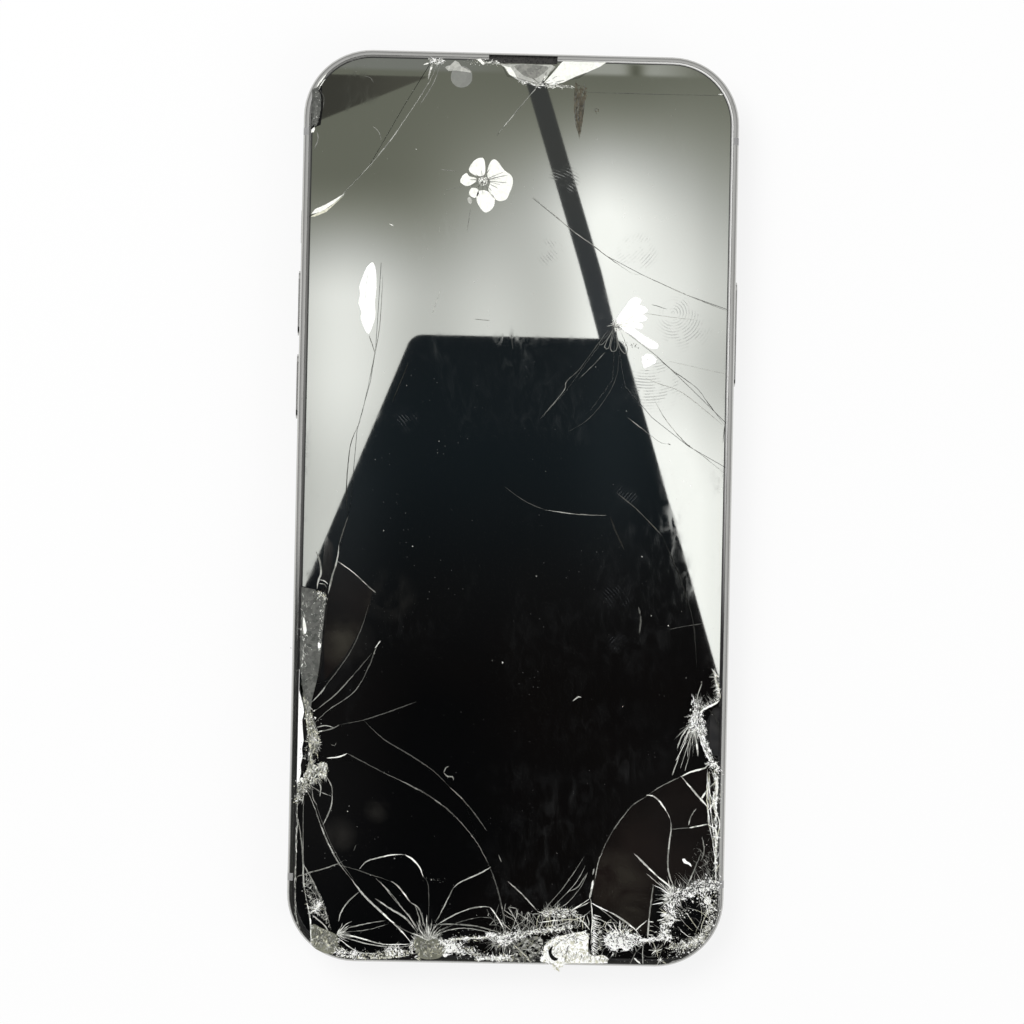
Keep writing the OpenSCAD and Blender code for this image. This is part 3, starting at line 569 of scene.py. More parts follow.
def scatter(outline, spacing):
    """Points on a loose grid inside an outline."""
    xs = [p[0] for p in outline]
    ys = [p[1] for p in outline]
    found = []
    for i in range(math.ceil((max(xs) - min(xs)) / spacing) + 1):
        for j in range(math.ceil((max(ys) - min(ys)) / spacing) + 1):
            x = min(xs) + (i + rng.uniform(-0.45, 0.45)) * spacing
            y = min(ys) + (j + rng.uniform(-0.45, 0.45)) * spacing
            if inside(outline, x, y):
                found.append((x, y))
    return found


def network(outline, spacing):
    """A triangle net over an outline: its points, edges and triangles."""
    points = scatter(outline, spacing) + curve(outline + outline[:1], spacing)[:-1]
    made = delaunay_2d_cdt([Vector(p) for p in points], [], [], 0, 1e-5)
    places, edges, triangles = made[0], made[1], made[2]
    kept = []
    for triangle in triangles:
        cx = sum(places[k].x for k in triangle) / 3
        cy = sum(places[k].y for k in triangle) / 3
        if inside(outline, cx, cy):
            kept.append(triangle)
    return places, edges, kept


def mosaic(bag, outline, cell, tones, keep=0.9, rise=0.08, shrink=0.95, z=GLASS_Z):
    """Small tilted chips that fill an outline."""
    places, _, triangles = network(outline, cell)
    for triangle in triangles:
        if rng.random() > keep:
            continue
        corners = [places[k] for k in triangle]
        centre = sum(corners, Vector((0, 0))) / 3
        lean = [rng.uniform(0.0, 0.25 * rise) for _ in range(3)]
        top = [(*(centre + (c - centre) * shrink), z + 0.01 + h) for c, h in zip(corners, lean)]
        foot = [(x, y, z - 0.03) for x, y, _ in top]
        bag.add(top + foot, [(0, 1, 2), (0, 3, 4, 1), (1, 4, 5, 2), (2, 5, 3, 0)], pick(tones))


def web(bag, outline, cell, width, tones, keep=0.75):
    """A net of fine cracks over an outline."""
    places, edges, _ = network(outline, cell)
    for a, b in edges:
        pa, pb = places[a], places[b]
        middle = (pa + pb) / 2
        if rng.random() < keep and inside(outline, middle.x, middle.y) and (pa - pb).length < 2.5 * cell:
            strand(bag, [tuple(pa), tuple(pb)], width * rng.uniform(0.5, 1.3), tones, ends=(0.8, 0.8),
                   step=0.5)


def grains(bag, spots, size, tones, z=GLASS_Z):
    """Crumbs of glass, each a small uneven tetrahedron. On the glass, those past its edge are left out."""
    for x, y in spots:
        if z == GLASS_Z and not on_phone(x, y):
            continue
        r = size * rng.uniform(0.4, 1.3)
        turn = rng.uniform(0, math.tau)
        foot = []
        for k in range(3):
            reach = r * rng.uniform(0.6, 1.1)
            angle = turn + k * math.tau / 3 + rng.uniform(-0.4, 0.4)
            foot.append((x + reach * math.cos(angle), y + reach * math.sin(angle), z - 0.01))
        tip_x, tip_y = x + rng.uniform(-r, r) * 0.4, y + rng.uniform(-r, r) * 0.4
        tip = (tip_x, tip_y, z + min(0.12, r * rng.uniform(0.12, 0.5)))
        bag.add(foot + [tip], [(0, 1, 3), (1, 2, 3), (2, 0, 3)], pick(tones))


def near_line(points, count, reach):
    """Spots close to a line, thinning out away from it."""
    path = curve(points, 0.3)
    return [(x + rng.gauss(0, reach), y + rng.gauss(0, reach)) for x,
            y in (rng.choice(path) for _ in range(count))]


def duller(tones, length):
    """Long thin splinters hold less white than short ones."""
    plain = isinstance(tones, str) or "ink" in tones
    return tones if plain or length < rng.uniform(0.5, 1.3) else ("pale", "grey", "dim", "dim")


def whiskers(bag, points, count, reach, width, tones, sides=(1, -1), lean=0.5, spread=0.0):
    """Splinters that leave a ridge on the given sides, 1 being its left."""
    path = curve(points, 0.2)
    for _ in range(count):
        i = rng.randrange(1, len(path))
        (x0, y0), (x1, y1) = path[i - 1], path[i]
        along = math.atan2(y1 - y0, x1 - x0)
        angle = along + rng.choice(sides) * math.pi / 2 + rng.gauss(0, lean)
        length = reach[0] + (reach[1] - reach[0]) * rng.random() ** 2.4
        x, y = x1 + rng.gauss(0, spread), y1 + rng.gauss(0, spread)
        needle(bag, x, y, angle, length, width * rng.uniform(0.4, 1.3), duller(tones, length))


def bundle(bag, points, spread, count, reach, width, tones, lean=0.35):
    """Splinters that lie along a ridge."""
    path = curve(points, 0.2)
    for _ in range(count):
        i = rng.randrange(1, len(path))
        (x0, y0), (x1, y1) = path[i - 1], path[i]
        along = math.atan2(y1 - y0, x1 - x0) + rng.gauss(0, lean) + rng.choice((0, math.pi))
        length = reach[0] + (reach[1] - reach[0]) * rng.random() ** 2
        x, y = x1 + rng.gauss(0, spread), y1 + rng.gauss(0, spread)
        needle(bag, x, y, along, length, width * rng.uniform(0.5, 1.6), duller(tones, length))


def burst(bag, centre, count, reach, width, tones, arc=(0, 360)):
    """Rays round an impact."""
    for i in range(count):
        angle = math.radians(arc[0] + (arc[1] - arc[0]) * (i + rng.uniform(-0.4, 0.4)) / count)
        length = rng.uniform(*reach) * rng.uniform(0.6, 1.0)
        bend = angle + rng.uniform(-0.14, 0.14)
        middle = (centre[0] + math.cos(angle) * length * 0.5, centre[1] + math.sin(angle) * length * 0.5)
        tip = (centre[0] + math.cos(bend) * length, centre[1] + math.sin(bend) * length)
        strand(bag, [centre, middle, tip], width * rng.uniform(0.5, 1.4), tones, ends=(0.9, 0.1), step=0.5)


def plate(bag, outline, tone, height=0.02, smooth=0.35):
    """A flat flake with a soft or an angular outline."""
    rim = curve(outline, smooth, closed=True) if smooth else outline
    triangles = tessellate_polygon([[Vector((x, y, 0)) for x, y in rim]])
    points = [(x, y, GLASS_Z + height) for x, y in rim] + [(x, y, GLASS_Z - 0.02) for x, y in rim]
    count = len(rim)
    walls = [(i, (i + 1) % count, count + (i + 1) % count, count + i) for i in range(count)]
    bag.add(points, [tuple(t) for t in triangles] + walls, tone)


def disc(centre, radius, count=40):
    return [
        (centre[0] + radius * math.cos(math.tau * i / count),
         centre[1] + radius * math.sin(math.tau * i / count))
        for i in range(count)
    ]


# ---------------------------------------------------------------- tinted shards, where the panel shows brown

shards = Bag()
plate(
    shards,
    [(-28.2, -9.5), (-25.3, -11.6), (-22.5, -13.8), (-23, -17), (-24.5, -20.5), (-27, -25), (-29.8, -28.3),
     (-30.1, -22), (-29.6, -15)],
    "shard", height=0.002, smooth=0,
)
plate(shards, [(-30, -5.2), (-29, -6.5), (-29, -10), (-29.5, -12.5), (-30.8, -12.5), (-30.3, -6)], "shard",
      0.002, 0)
plate(
    shards,
    [(14, -63), (14, -60), (14.5, -57), (15.5, -54), (17.5, -50.5), (20, -47.4), (22, -46), (24, -44.6),
     (27, -43), (30, -41.7), (32.8, -40.8), (33.6, -44), (33.8, -56), (31.5, -59.4), (27, -61.6), (24, -60.5),
     (23, -68), (21.5, -68.3)],
    "shard", 0.002, 0,
)
shards.piece("tinted_shards")


# ---------------------------------------------------------------- long cracks and scratches
# Each line: tone, width in mm, and points in mm from the middle of the phone

LINES = (
    # From the left edge
    ("dim", 0.11, ((-31.8, -31.8), (-29.5, -29), (-26, -24), (-24, -19.5), (-23, -16))),
    (("pale", "grey"), 0.14, ((-32, -32), (-31, -31), (-29.6, -29.3))),
    (("dim", "grey"), 0.12, ((-31.3, -33.3), (-28, -30.5), (-24.5, -26.5), (-22.3, -23.8))),
    (("grey", "dim"), 0.14, ((-31.3, -35.2), (-29, -33), (-25, -30), (-22.8, -26), (-21.7, -23),
                             (-21, -21.8))),
    ("bright", 0.13, ((-21.9, -23), (-21.4, -22.3), (-21, -21.8))),
    (("grey", "bright"), 0.16, ((-30.7, -36.6), (-28.5, -36.1), (-27.3, -35.4))),
    ("pale", 0.12, ((-31, -35.9), (-29.4, -35.6), (-28.2, -35.9))),
    ("dim", 0.11, ((-27.3, -35.4), (-23.5, -34.6), (-20, -33.4), (-15, -31.5))),
    ("dim", 0.12, ((-23.5, -34.6), (-20, -37.7), (-16, -40), (-12, -42.6), (-9.5, -45))),
    (("dim", "grey"), 0.13, ((-9.5, -45), (-7, -47.3), (-5, -49.7), (-3.3, -52))),
    ("grey", 0.11, ((-1.3, -55.8), (-0.8, -57))),
    (("bright", "pale"), 0.22, ((-29.2, -40.8), (-28, -40.7), (-26.8, -40.4), (-26, -40))),
    ("dim", 0.11, ((-26, -40), (-23, -41.5), (-20, -43))),
    (("grey", "dim"), 0.15, ((-20, -43), (-15, -45.3), (-12, -47), (-8.5, -49.7), (-5, -53.7),
                             (-2.7, -57.7))),
    (("grey", "dim"), 0.15, ((-2.7, -57.7), (-1.3, -61.5), (-0.2, -66), (0, -68))),
    (("grey", "pale"), 0.16, ((-29.3, -43.6), (-28.4, -45.2), (-28.2, -46.8), (-28.5, -49), (-29.6, -51.6))),
    (("pale", "grey"), 0.14, ((-32, -45.1), (-30.2, -46.2), (-28.4, -46.9))),
    ("pale", 0.14, ((-30.6, -44.5), (-30.1, -45.4), (-30.2, -47))),
    ("grey", 0.12, ((-31.5, -45.5), (-31.3, -47.3), (-30.6, -48.4))),
    # Lower left
    (("pale", "grey"), 0.16, ((-32.3, -46), (-31.2, -48.3), (-30, -51.5), (-28.7, -54.5), (-27, -57.5),
                              (-25, -60))),
    (("bright", "pale"), 0.22, ((-25, -60), (-22.8, -62.7), (-20, -65.3), (-17, -68), (-14.5, -70.8))),
    ("dim", 0.1, ((-31.9, -46), (-30.8, -48.3), (-29.6, -51.5), (-28.2, -54.6), (-26.5, -57.6),
                  (-24.4, -60.3))),
    (("grey", "pale"), 0.17, ((-34, -49.5), (-33.2, -53), (-32.7, -57), (-32.5, -61), (-31.9, -64))),
    (("pale", "bright"), 0.18, ((-31.9, -64), (-31.3, -67), (-31.1, -70.4))),
    ("grey", 0.12, ((-32.8, -46.5), (-32.8, -52), (-32.6, -58))),
    (("grey", "pale"), 0.17, ((-32.7, -57.8), (-31, -60.7), (-29.5, -64), (-28.5, -66.5), (-28, -68.5))),
    (("grey", "dim"), 0.14, ((-33.8, -60), (-31.5, -59.2), (-30, -58.8), (-27.3, -57.8), (-25.8, -57))),
    (("grey", "dim"), 0.13, ((-27.3, -57.8), (-23.5, -58.8), (-21.8, -59.4), (-20, -59.9), (-18.5, -60.4))),
    (("pale", "bright"), 0.15, ((-18.5, -60.4), (-17.5, -61), (-16.5, -62.2), (-15.3, -63.7))),
    (("pale", "grey"), 0.15, ((-15.3, -63.7), (-14.2, -64.4), (-13.4, -65.8), (-13.1, -67.5))),
    (("pale", "bright"), 0.15, ((-23.6, -58.5), (-22.5, -57.3), (-20.5, -56.6), (-18, -56.1),
                                (-16.3, -56.1))),
    ("bright", 0.19, ((-16.3, -56.1), (-15, -56.9), (-14, -58), (-13.3, -59.6))),
    ("dim", 0.1, ((-13.3, -59.6), (-12.5, -61), (-12.3, -67))),
    (("grey", "pale"), 0.14, ((-21, -59.9), (-18.5, -62.3), (-16.5, -64.8), (-15, -66.5), (-13.6, -68.5))),
    (("grey", "pale"), 0.2, ((-21, -63.2), (-18.5, -64.8), (-16, -66.3), (-14.3, -68.3))),
    (("grey", "dim"), 0.15, ((-18.7, -66.7), (-16.5, -68), (-14.2, -69))),
    (("grey", "pale"), 0.14, ((-19.6, -61.2), (-17.3, -64), (-15.4, -66), (-14, -68.4))),
    (("grey", "dim"), 0.12, ((-14.6, -64), (-13.9, -66), (-13.3, -68.4))),
    (("pale", "grey"), 0.15, ((-23.6, -62.2), (-25.2, -63.7), (-26.3, -65.3), (-26.8, -67))),
    (("pale", "bright"), 0.14, ((-27, -69), (-25.8, -67.6), (-24.6, -66.9))),
    (("grey", "pale"), 0.16, ((-27, -69), (-25.5, -68.1), (-22.5, -67.3), (-19.3, -66.7))),
    (("dim", "grey"), 0.14, ((-27, -69), (-25, -68.6), (-22, -68.2), (-18.7, -67.2))),
    (("bright", "pale"), 0.16, ((-27, -69), (-24.5, -69.3), (-22.5, -69.8), (-19.5, -70.5), (-17, -70.5),
                                (-15, -70.4))),
    (("bright", "pale"), 0.16, ((-27, -69.5), (-26, -70.2), (-25, -71), (-23.8, -71.7))),
    (("pale", "grey"), 0.14, ((-26, -69.5), (-22, -70.5), (-19, -70.9), (-16.5, -70.8))),
    (("pale", "bright"), 0.14, ((-24.5, -71.8), (-21, -72), (-18, -71.2), (-15, -70.6))),
    (("pale", "grey"), 0.16, ((-14.3, -68.6), (-13.8, -67.3), (-13.9, -65.8))),
    ("pale", 0.15, ((-28.3, -69), (-28.9, -67.8), (-31, -66))),
    # Right of the lower impact
    (("bright", "pale"), 0.15, ((-2.5, -57.8), (-4.5, -59), (-7.3, -60.3), (-8.5, -61.3))),
    (("grey", "pale"), 0.14, ((-8.5, -61.3), (-10, -64.5), (-11.3, -67))),
    (("grey", "pale"), 0.15, ((-11.5, -68.5), (-11, -67.3), (-8, -65.5), (-5.5, -64.5), (-3.5, -64.2),
                              (-2.5, -64.3))),
    ("bright", 0.15, ((-2.5, -64.3), (-1.5, -65.5), (-0.3, -67.6))),
    (("grey", "dim"), 0.15, ((-12.5, -67.4), (-9, -67.1), (-5, -67.3), (-2, -68), (-0.3, -68.4))),
    (("pale", "grey"), 0.15, ((-11.5, -69), (-9.5, -68.2), (-7, -67.7), (-4, -68), (-1.5, -68.6))),
    (("grey", "dim"), 0.12, ((-11, -68.8), (-8, -67), (-4, -65.9), (-1.2, -66.3))),
    # Bottom middle and the fan above it
    (("pale", "grey"), 0.13, ((0.2, -60), (2.5, -62), (5.3, -64.9))),
    (("pale", "grey"), 0.14, ((5.9, -64.8), (8.5, -61.8), (10.4, -59.2), (12.4, -56))),
    (("pale", "grey"), 0.13, ((6.9, -64.7), (9.3, -62.3), (11.4, -59.8), (12.7, -57.3))),
    (("grey", "pale"), 0.12, ((8, -64.6), (10.1, -63.2), (12.1, -60.6), (13.1, -58.4))),
    (("bright", "pale"), 0.15, ((9.8, -65.2), (11.5, -64), (13.5, -62.6))),
    ("grey", 0.12, ((10, -61.5), (11.5, -60.8), (13, -58.5))),
    ("pale", 0.14, ((8.9, -64.9), (10.7, -64.5), (13.6, -63.1))),
    (("bright", "pale"), 0.24, ((13.5, -62.6), (13.8, -61), (14, -59.6))),
    ("pale", 0.15, ((13.9, -58.8), (14.1, -57.7))),
    (("bright", "pale"), 0.19, ((13.6, -62.6), (13.8, -63.6), (14, -66), (13.9, -68), (13.7, -72))),
    (("bright", "white"), 0.22, ((13.8, -63.3), (15, -63.9), (16.6, -64.6))),
    (("bright", "pale"), 0.19, ((16.6, -64.6), (18.6, -65.7), (20.9, -67.4), (21.5, -68.3))),
    (("pale", "grey"), 0.14, ((13.8, -65.2), (15.5, -66), (17, -67))),
    (("pale", "grey"), 0.12, ((14.2, -63.4), (17, -65.5), (20, -68))),
    # Tinted shard at the lower right
    (("dim", "grey"), 0.14, ((14.2, -60.5), (14.6, -57.5), (15.6, -54.4), (17.4, -51), (20, -47.6),
                             (22.3, -46))),
    (("grey", "pale"), 0.12, ((14.3, -59.5), (14.8, -56.5), (15.4, -55.2))),
    (("dim", "grey"), 0.12, ((22.3, -46), (24, -44.7), (26, -43.6), (27.8, -42.7))),
    (("bright", "pale"), 0.2, ((27.8, -42.7), (29.5, -41.9), (31.7, -41.2), (32.2, -40.3))),
    (("bright", "pale"), 0.2, ((22.3, -45.8), (23.3, -45.9), (24.3, -46.6), (25.5, -48.2), (26.2, -49.5))),
    (("pale", "bright", "grey"), 0.17, ((26.2, -49.5), (26.4, -51), (26.1, -54), (26, -57), (26.4, -59),
                                        (27.4, -61))),
    (("dim", "grey"), 0.14, ((26.4, -51.2), (29.3, -50.9))),
    (("pale", "bright"), 0.2, ((29.3, -50.9), (32.3, -50.3))),
    ("bright", 0.24, ((32.3, -50.3), (33.6, -51.2), (33.8, -52.9))),
    (("bright", "pale"), 0.2, ((27.8, -42.6), (30, -45.1), (32.3, -47.6))),
    ("bright", 0.24, ((32.3, -47.6), (32.4, -50.3))),
    ("bright", 0.24, ((32.4, -48), (33.3, -46.5), (33.7, -44.5), (33.6, -42.3))),
    (("pale", "bright"), 0.22, ((31, -46.6), (32, -44.9), (33.6, -43.2))),
    (("grey", "pale"), 0.14, ((29.2, -50.5), (29.6, -49), (30.4, -47.8))),
    (("bright", "pale"), 0.2, ((20.5, -55.2), (24, -58.5), (27, -60.9))),
    (("grey", "pale"), 0.14, ((22.6, -58.4), (25, -60.4), (27, -61.8))),
    (("pale", "grey"), 0.15, ((31.3, -55), (30.5, -57), (29.9, -58.6), (29, -60.4))),
    (("grey", "pale"), 0.16, ((31.4, -52.3), (31.8, -54.5), (31.3, -56.2))),
    (("pale", "grey"), 0.17, ((23.7, -60.3), (23.4, -63), (23.1, -66))),
    (("bright", "pale"), 0.18, ((23.1, -65.5), (23, -68.8))),
    (("pale", "bright"), 0.15, ((21, -67.6), (22.8, -65.9))),
    ("pale", 0.14, ((22.3, -69.3), (22.2, -71), (22.3, -73))),
    ("bright", 0.2, ((20.8, -72), (21.9, -72.9))),
    # Star on the right edge
    (("bright", "white"), 0.24, ((30, -33), (31.3, -31.8), (33, -30.9), (33.8, -30.3))),
    ("bright", 0.28, ((33, -26.2), (33.2, -27.6), (33.8, -29.4))),
    ("pale", 0.15, ((30.1, -31), (30.3, -29.4), (30.9, -27.6))),
    (("bright", "pale"), 0.17, ((27.1, -38.2), (27.9, -36), (28.9, -34.6))),
    (("bright", "pale"), 0.17, ((26.9, -40.2), (28.1, -37.8), (28.9, -35.6))),
    (("grey", "pale"), 0.15, ((26.4, -42.5), (26.9, -41), (27.5, -39.4))),
    (("pale", "grey"), 0.14, ((28.4, -41.8), (29, -39.5), (29.3, -36.7))),
    (("pale", "grey"), 0.12, ((27.7, -41.4), (28.5, -38.6), (29.2, -36.4))),
    (("bright", "pale"), 0.19, ((30.5, -39.4), (30.2, -37), (29.9, -35.4))),
    (("bright", "white"), 0.4, ((33.2, -40.6), (32, -39.2), (31, -37), (30.3, -35.2))),
    ("faint", 0.16, ((32, -31.8), (33.2, -33), (33.8, -34.8))),
    # Upper star and the long cracks that leave it
    (("grey", "dim"), 0.1, ((15.5, 29), (13.2, 27), (12.5, 26), (10, 22.5), (8, 20.5), (7.6, 19), (4, 14.5))),
    (("grey", "dim"), 0.1, ((14.2, 25.4), (12, 23), (10, 21))),
    ("dim", 0.1, ((16.4, 25), (16.2, 22), (15, 19), (13, 16), (11, 14), (8.5, 12.5))),
    ("grey", 0.1, ((15.4, 29.3), (14.5, 27.6), (13.5, 26.6), (13.2, 27), (14.6, 29))),
    ("grey", 0.1, ((15.5, 29.3), (14.4, 27.2), (14.1, 26.2), (14.7, 26.1), (15.4, 29))),
    ("grey", 0.1, ((15.6, 29), (15, 26), (15.6, 25.6), (16.1, 26.3), (15.9, 29))),
    ("grey", 0.1, ((15.9, 29), (16.4, 26.6), (17.3, 25.3), (17.8, 26), (16.5, 29))),
    (("grey", "dim"), 0.1, ((22.5, 24.8), (25, 22.8), (29, 20), (31, 17.5), (33.8, 14))),
    ("pale", 0.09, ((20.5, 21.5), (23, 20.5), (27, 19), (33.5, 14))),
    (("grey", "pale"), 0.1, ((22, 18.5), (24, 15), (27, 11.5), (28.5, 10.3), (31, 8.5), (33.8, 6.3))),
    (("grey", "pale"), 0.09, ((18, 15), (20, 13.5), (22, 12), (23.5, 11), (25, 10.8))),
    ("dim", 0.12, ((33.7, 14), (33.5, 11.2))),
    ("dim", 0.16, ((24.6, 10.9), (25.1, 10.7))),
    ("dim", 0.16, ((27.8, 10.8), (28.3, 10.4))),
    ("pale", 0.08, ((24.5, 24.2), (33.8, 22.3))),
    ("pale", 0.08, ((20.2, 31.9), (24, 31.4), (29, 30.9))),
    (("grey", "pale"), 0.1, ((2, 50.2), (6, 47), (8, 45.3), (12, 42.5), (14, 41), (18, 38.4), (20, 38))),
    (("pale", "grey"), 0.09, ((20, 38), (27, 35), (33.8, 32.5))),
    ("dim", 0.13, ((21.5, 33.3), (24, 32.6))),
    # Scratches over the dark middle
    ("dim", 0.1, ((-1.5, 3.3), (2, 1), (5, -0.2))),
    (("pale", "grey"), 0.12, ((5, -0.2), (10, -0.8), (15, -0.9))),
    ("dim", 0.12, ((16.5, 2.8), (20, 0), (24, -4))),
    ("faint", 0.18, ((24, -4), (26.5, -9.5), (28, -13.5), (29.3, -18), (30, -25))),
    ("dim", 0.12, ((25.5, -19), (28, -18.5), (30.8, -18))),
    ("faint", 0.2, ((15.5, -1), (16.5, -3.5), (18, -6.5))),
    (("faint", "dim"), 0.2, ((20.4, -15.5), (20.8, -17.5), (20.6, -20))),
    ("grey", 0.14, ((-10.4, -42.8), (-10.1, -42), (-9.6, -41.8))),
    ("grey", 0.14, ((-10.4, -42.8), (-9.8, -43.4), (-9, -43.4), (-8.8, -44))),
    ("pale", 0.16, ((10.1, -30.9), (10.6, -30.5), (11, -30.2), (11.5, -30.3))),
    ("grey", 0.12, ((-28.6, -38.6), (-28, -38.8), (-27.8, -38.3))),
    ("dim", 0.14, ((-24.6, -55.6), (-24.2, -54.6))),
    # Left side, from the leaf down
    ("grey", 0.11, ((-23.9, 27.3), (-22.8, 24.3))),
    ("grey", 0.09, ((-21.9, 37), (-22.2, 29), (-23, 24), (-23.7, 20), (-25, 13.5))),
    ("faint", 0.1, ((-25, 13.5), (-26.5, 9.5), (-27, 3), (-26.8, -1.5))),
    ("dim", 0.13, ((-26.6, -1.8), (-27.3, -4), (-28, -6.5))),
    (("grey", "pale"), 0.16, ((-28, -6.5), (-28.3, -9.2), (-29.1, -12), (-29.6, -14.5))),
    (("dim", "grey"), 0.1, ((-28.4, -9), (-28.8, -11.2), (-29.4, -14))),
    (("bright", "pale"), 0.13, ((-28.1, -9.2), (-25.5, -11), (-23.3, -13))),
    ("grey", 0.12, ((-23.3, -13), (-21.9, -14.1))),
    (("pale", "grey"), 0.2, ((-31.7, -7.6), (-31.1, -9), (-30.8, -11), (-31.2, -12.4), (-31.4, -13.7))),
    (("pale", "bright"), 0.14, ((-31.2, -12.2), (-30.4, -12.3), (-29.6, -12.9))),
    (("pale", "grey"), 0.12, ((-31.1, -12.8), (-30.2, -12.9), (-29.8, -13.5))),
    # Top
    (("grey", "pale"), 0.11, ((-14, 72), (-15, 68.5), (-20.3, 60), (-22.5, 57), (-24.5, 54.5), (-29, 49.5))),
    ("grey", 0.1, ((-13.4, 71), (-14.4, 68.2), (-16.5, 64.6))),
    (("pale", "bright"), 0.2, ((-14.6, 71.4), (-15, 70), (-15.3, 68.7))),
    (("grey", "pale"), 0.1, ((2.5, 68.2), (-0.5, 64.5), (-4, 60))),
    ("dim", 0.08, ((10, 67.3), (20, 67.25), (33, 67.3))),
    ("bright", 0.18, ((31.6, 67.5), (32.4, 67.5))),
    ("bright", 0.2, ((-16.1, 71.1), (-15.2, 71.4))),
    ("grey", 0.12, ((-33, 60), (-32.8, 58.5), (-33.4, 57))),
    ("dim", 0.12, ((-33, 67), (-32, 65.5), (-32.1, 63.5))),
    ("grey", 0.09, ((-9.5, 51.6), (-12, 51))),
    ("grey", 0.09, ((-8, 48), (-8.5, 44.5))),
    ("grey", 0.09, ((-10.5, 54), (-13, 54.3))),
    ("bright", 0.14, ((-21, 45.3), (-20.3, 45))),
    ("grey", 0.12, ((-25.5, 69), (-24.6, 68.8), (-24, 68))),
    (("pale", "grey"), 0.12, ((-24, 61), (-23, 60), (-22.6, 58.7))),
    ("grey", 0.08, ((-7, 30.3), (-4.5, 30.1))),
    ("pale", 0.1, ((-12.5, 35), (-13.8, 31))),
    ("dim", 0.1, ((-1, 28), (-0.7, 25.5))),
    ("faint", 0.12, ((-17.5, 23), (-20, 16.5))),
)

cracks = Bag()
for tone, width, points in LINES:
    strand(cracks, points, width, tone)
    if width >= 0.14 and points[0][1] < -30:
        length = sum(math.dist(a, b) for a, b in zip(points, points[1:]))
        grains(cracks, near_line(points, round(length * 1.6), 0.14), 0.07, ("bright", "pale", "grey"))
cracks.piece("crack_lines")


# ---------------------------------------------------------------- crushed glass

crush = Bag()
gaps = Bag()
WHITE = ("white", "white", "white", "bright")
LIGHT = ("white", "bright", "pale", "cream")
MIXED = ("bright", "pale", "grey", "cream")
DULL = ("grey", "dim", "facet", "pale", "dim")

# Facet at the corner impact, its rays and its white borders
facets = Bag()
plate(
    facets,
    [(-31, -67.6), (-29.5, -68.1), (-27.9, -68.7), (-26.9, -69.4), (-26.9, -71.1), (-27.6, -72.2),
     (-29.4, -71.9), (-31, -70.7)],
    "facet",
)
plate(
    facets,
    [(-14.6, -69.6), (-13.4, -69.2), (-11.6, -69.4), (-10, -70.1), (-9.5, -71.2), (-10.4, -72.5),
     (-12.4, -72.8), (-13.9, -72.4), (-14.4, -71.2)],
    "facet",
)
whiskers(gaps, [(-30.9, -68.4), (-29, -68.9), (-27.2, -69.8)], 60, (0.4, 1.8), 0.09, ("facet", "grey", "dim"),
         (-1,), 0.4, 0.2)
whiskers(gaps, [(-30.4, -70), (-28.6, -70.4), (-27.2, -71)], 40, (0.3, 1.0), 0.08, ("facet", "pale", "dim"),
         (1, -1), 0.5, 0.2)
burst(gaps, (-12.2, -71.6), 40, (0.5, 1.8), 0.08, ("facet", "grey", "facet", "cream"))
web(gaps, [(-30.8, -68), (-28, -68.9), (-27.2, -69.8), (-27.2, -71), (-28, -72), (-30.6, -70.6)], 0.9, 0.06,
    ("grey", "pale", "dim"), 0.5)
facets.piece("glass_facets")
for outline in ([(-30.8, -68), (-28, -68.9), (-27.2, -69.8), (-27.3, -71), (-28, -71.9), (-30.6, -70.6)],
                [(-14.2, -70), (-12.4, -69.6), (-10.2, -70.5), (-10.1, -71.8), (-12.3, -72.5), (-13.9, -72)]):
    web(gaps, outline, 0.7, 0.07, ("cream", "dim", "pale", "facet"), 0.6)
    mosaic(gaps, outline, 0.4, ("facet", "cream", "grey", "pale", "dim"), keep=0.45, rise=0.05)
whiskers(crush, [(-31, -67.6), (-29.5, -68.1), (-27, -69.3)], 40, (0.3, 1.2), 0.09, MIXED, (-1,), 0.3)
whiskers(crush, [(-26.9, -69.6), (-27, -71), (-27.8, -72.2)], 30, (0.3, 1.0), 0.09, LIGHT, (1, -1), 0.5)
whiskers(crush, [(-31.1, -67.6), (-31, -70.8), (-29, -72.1)], 40, (0.3, 0.8), 0.1, LIGHT, (1,), 0.5, 0.06)
burst(crush, (-27, -69.1), 22, (1.0, 3.4), 0.09, ("pale", "bright", "grey"), arc=(-35, 70))

# Crackled shard above it
CRACKLED = [(-32.2, -59.4), (-31, -60.6), (-29.3, -63.8), (-28, -68.2), (-29.6, -66.4), (-31.4, -64.8),
            (-32, -62)]
web(crush, CRACKLED, 0.6, 0.09, ("grey", "pale", "dim"), keep=0.8)
mosaic(crush, CRACKLED, 0.5, ("dim", "faint", "grey", "dim", "pale"), keep=0.4)
burst(crush, (-30.3, -64.8), 26, (0.6, 1.9), 0.1, LIGHT)
bundle(crush, [(-30.9, -65.6), (-29.9, -64)], 0.28, 60, (0.3, 0.9), 0.1, WHITE, 0.8)
whiskers(crush, [(-32.2, -60), (-32, -63), (-31.3, -66.4)], 30, (0.2, 0.7), 0.08, MIXED)

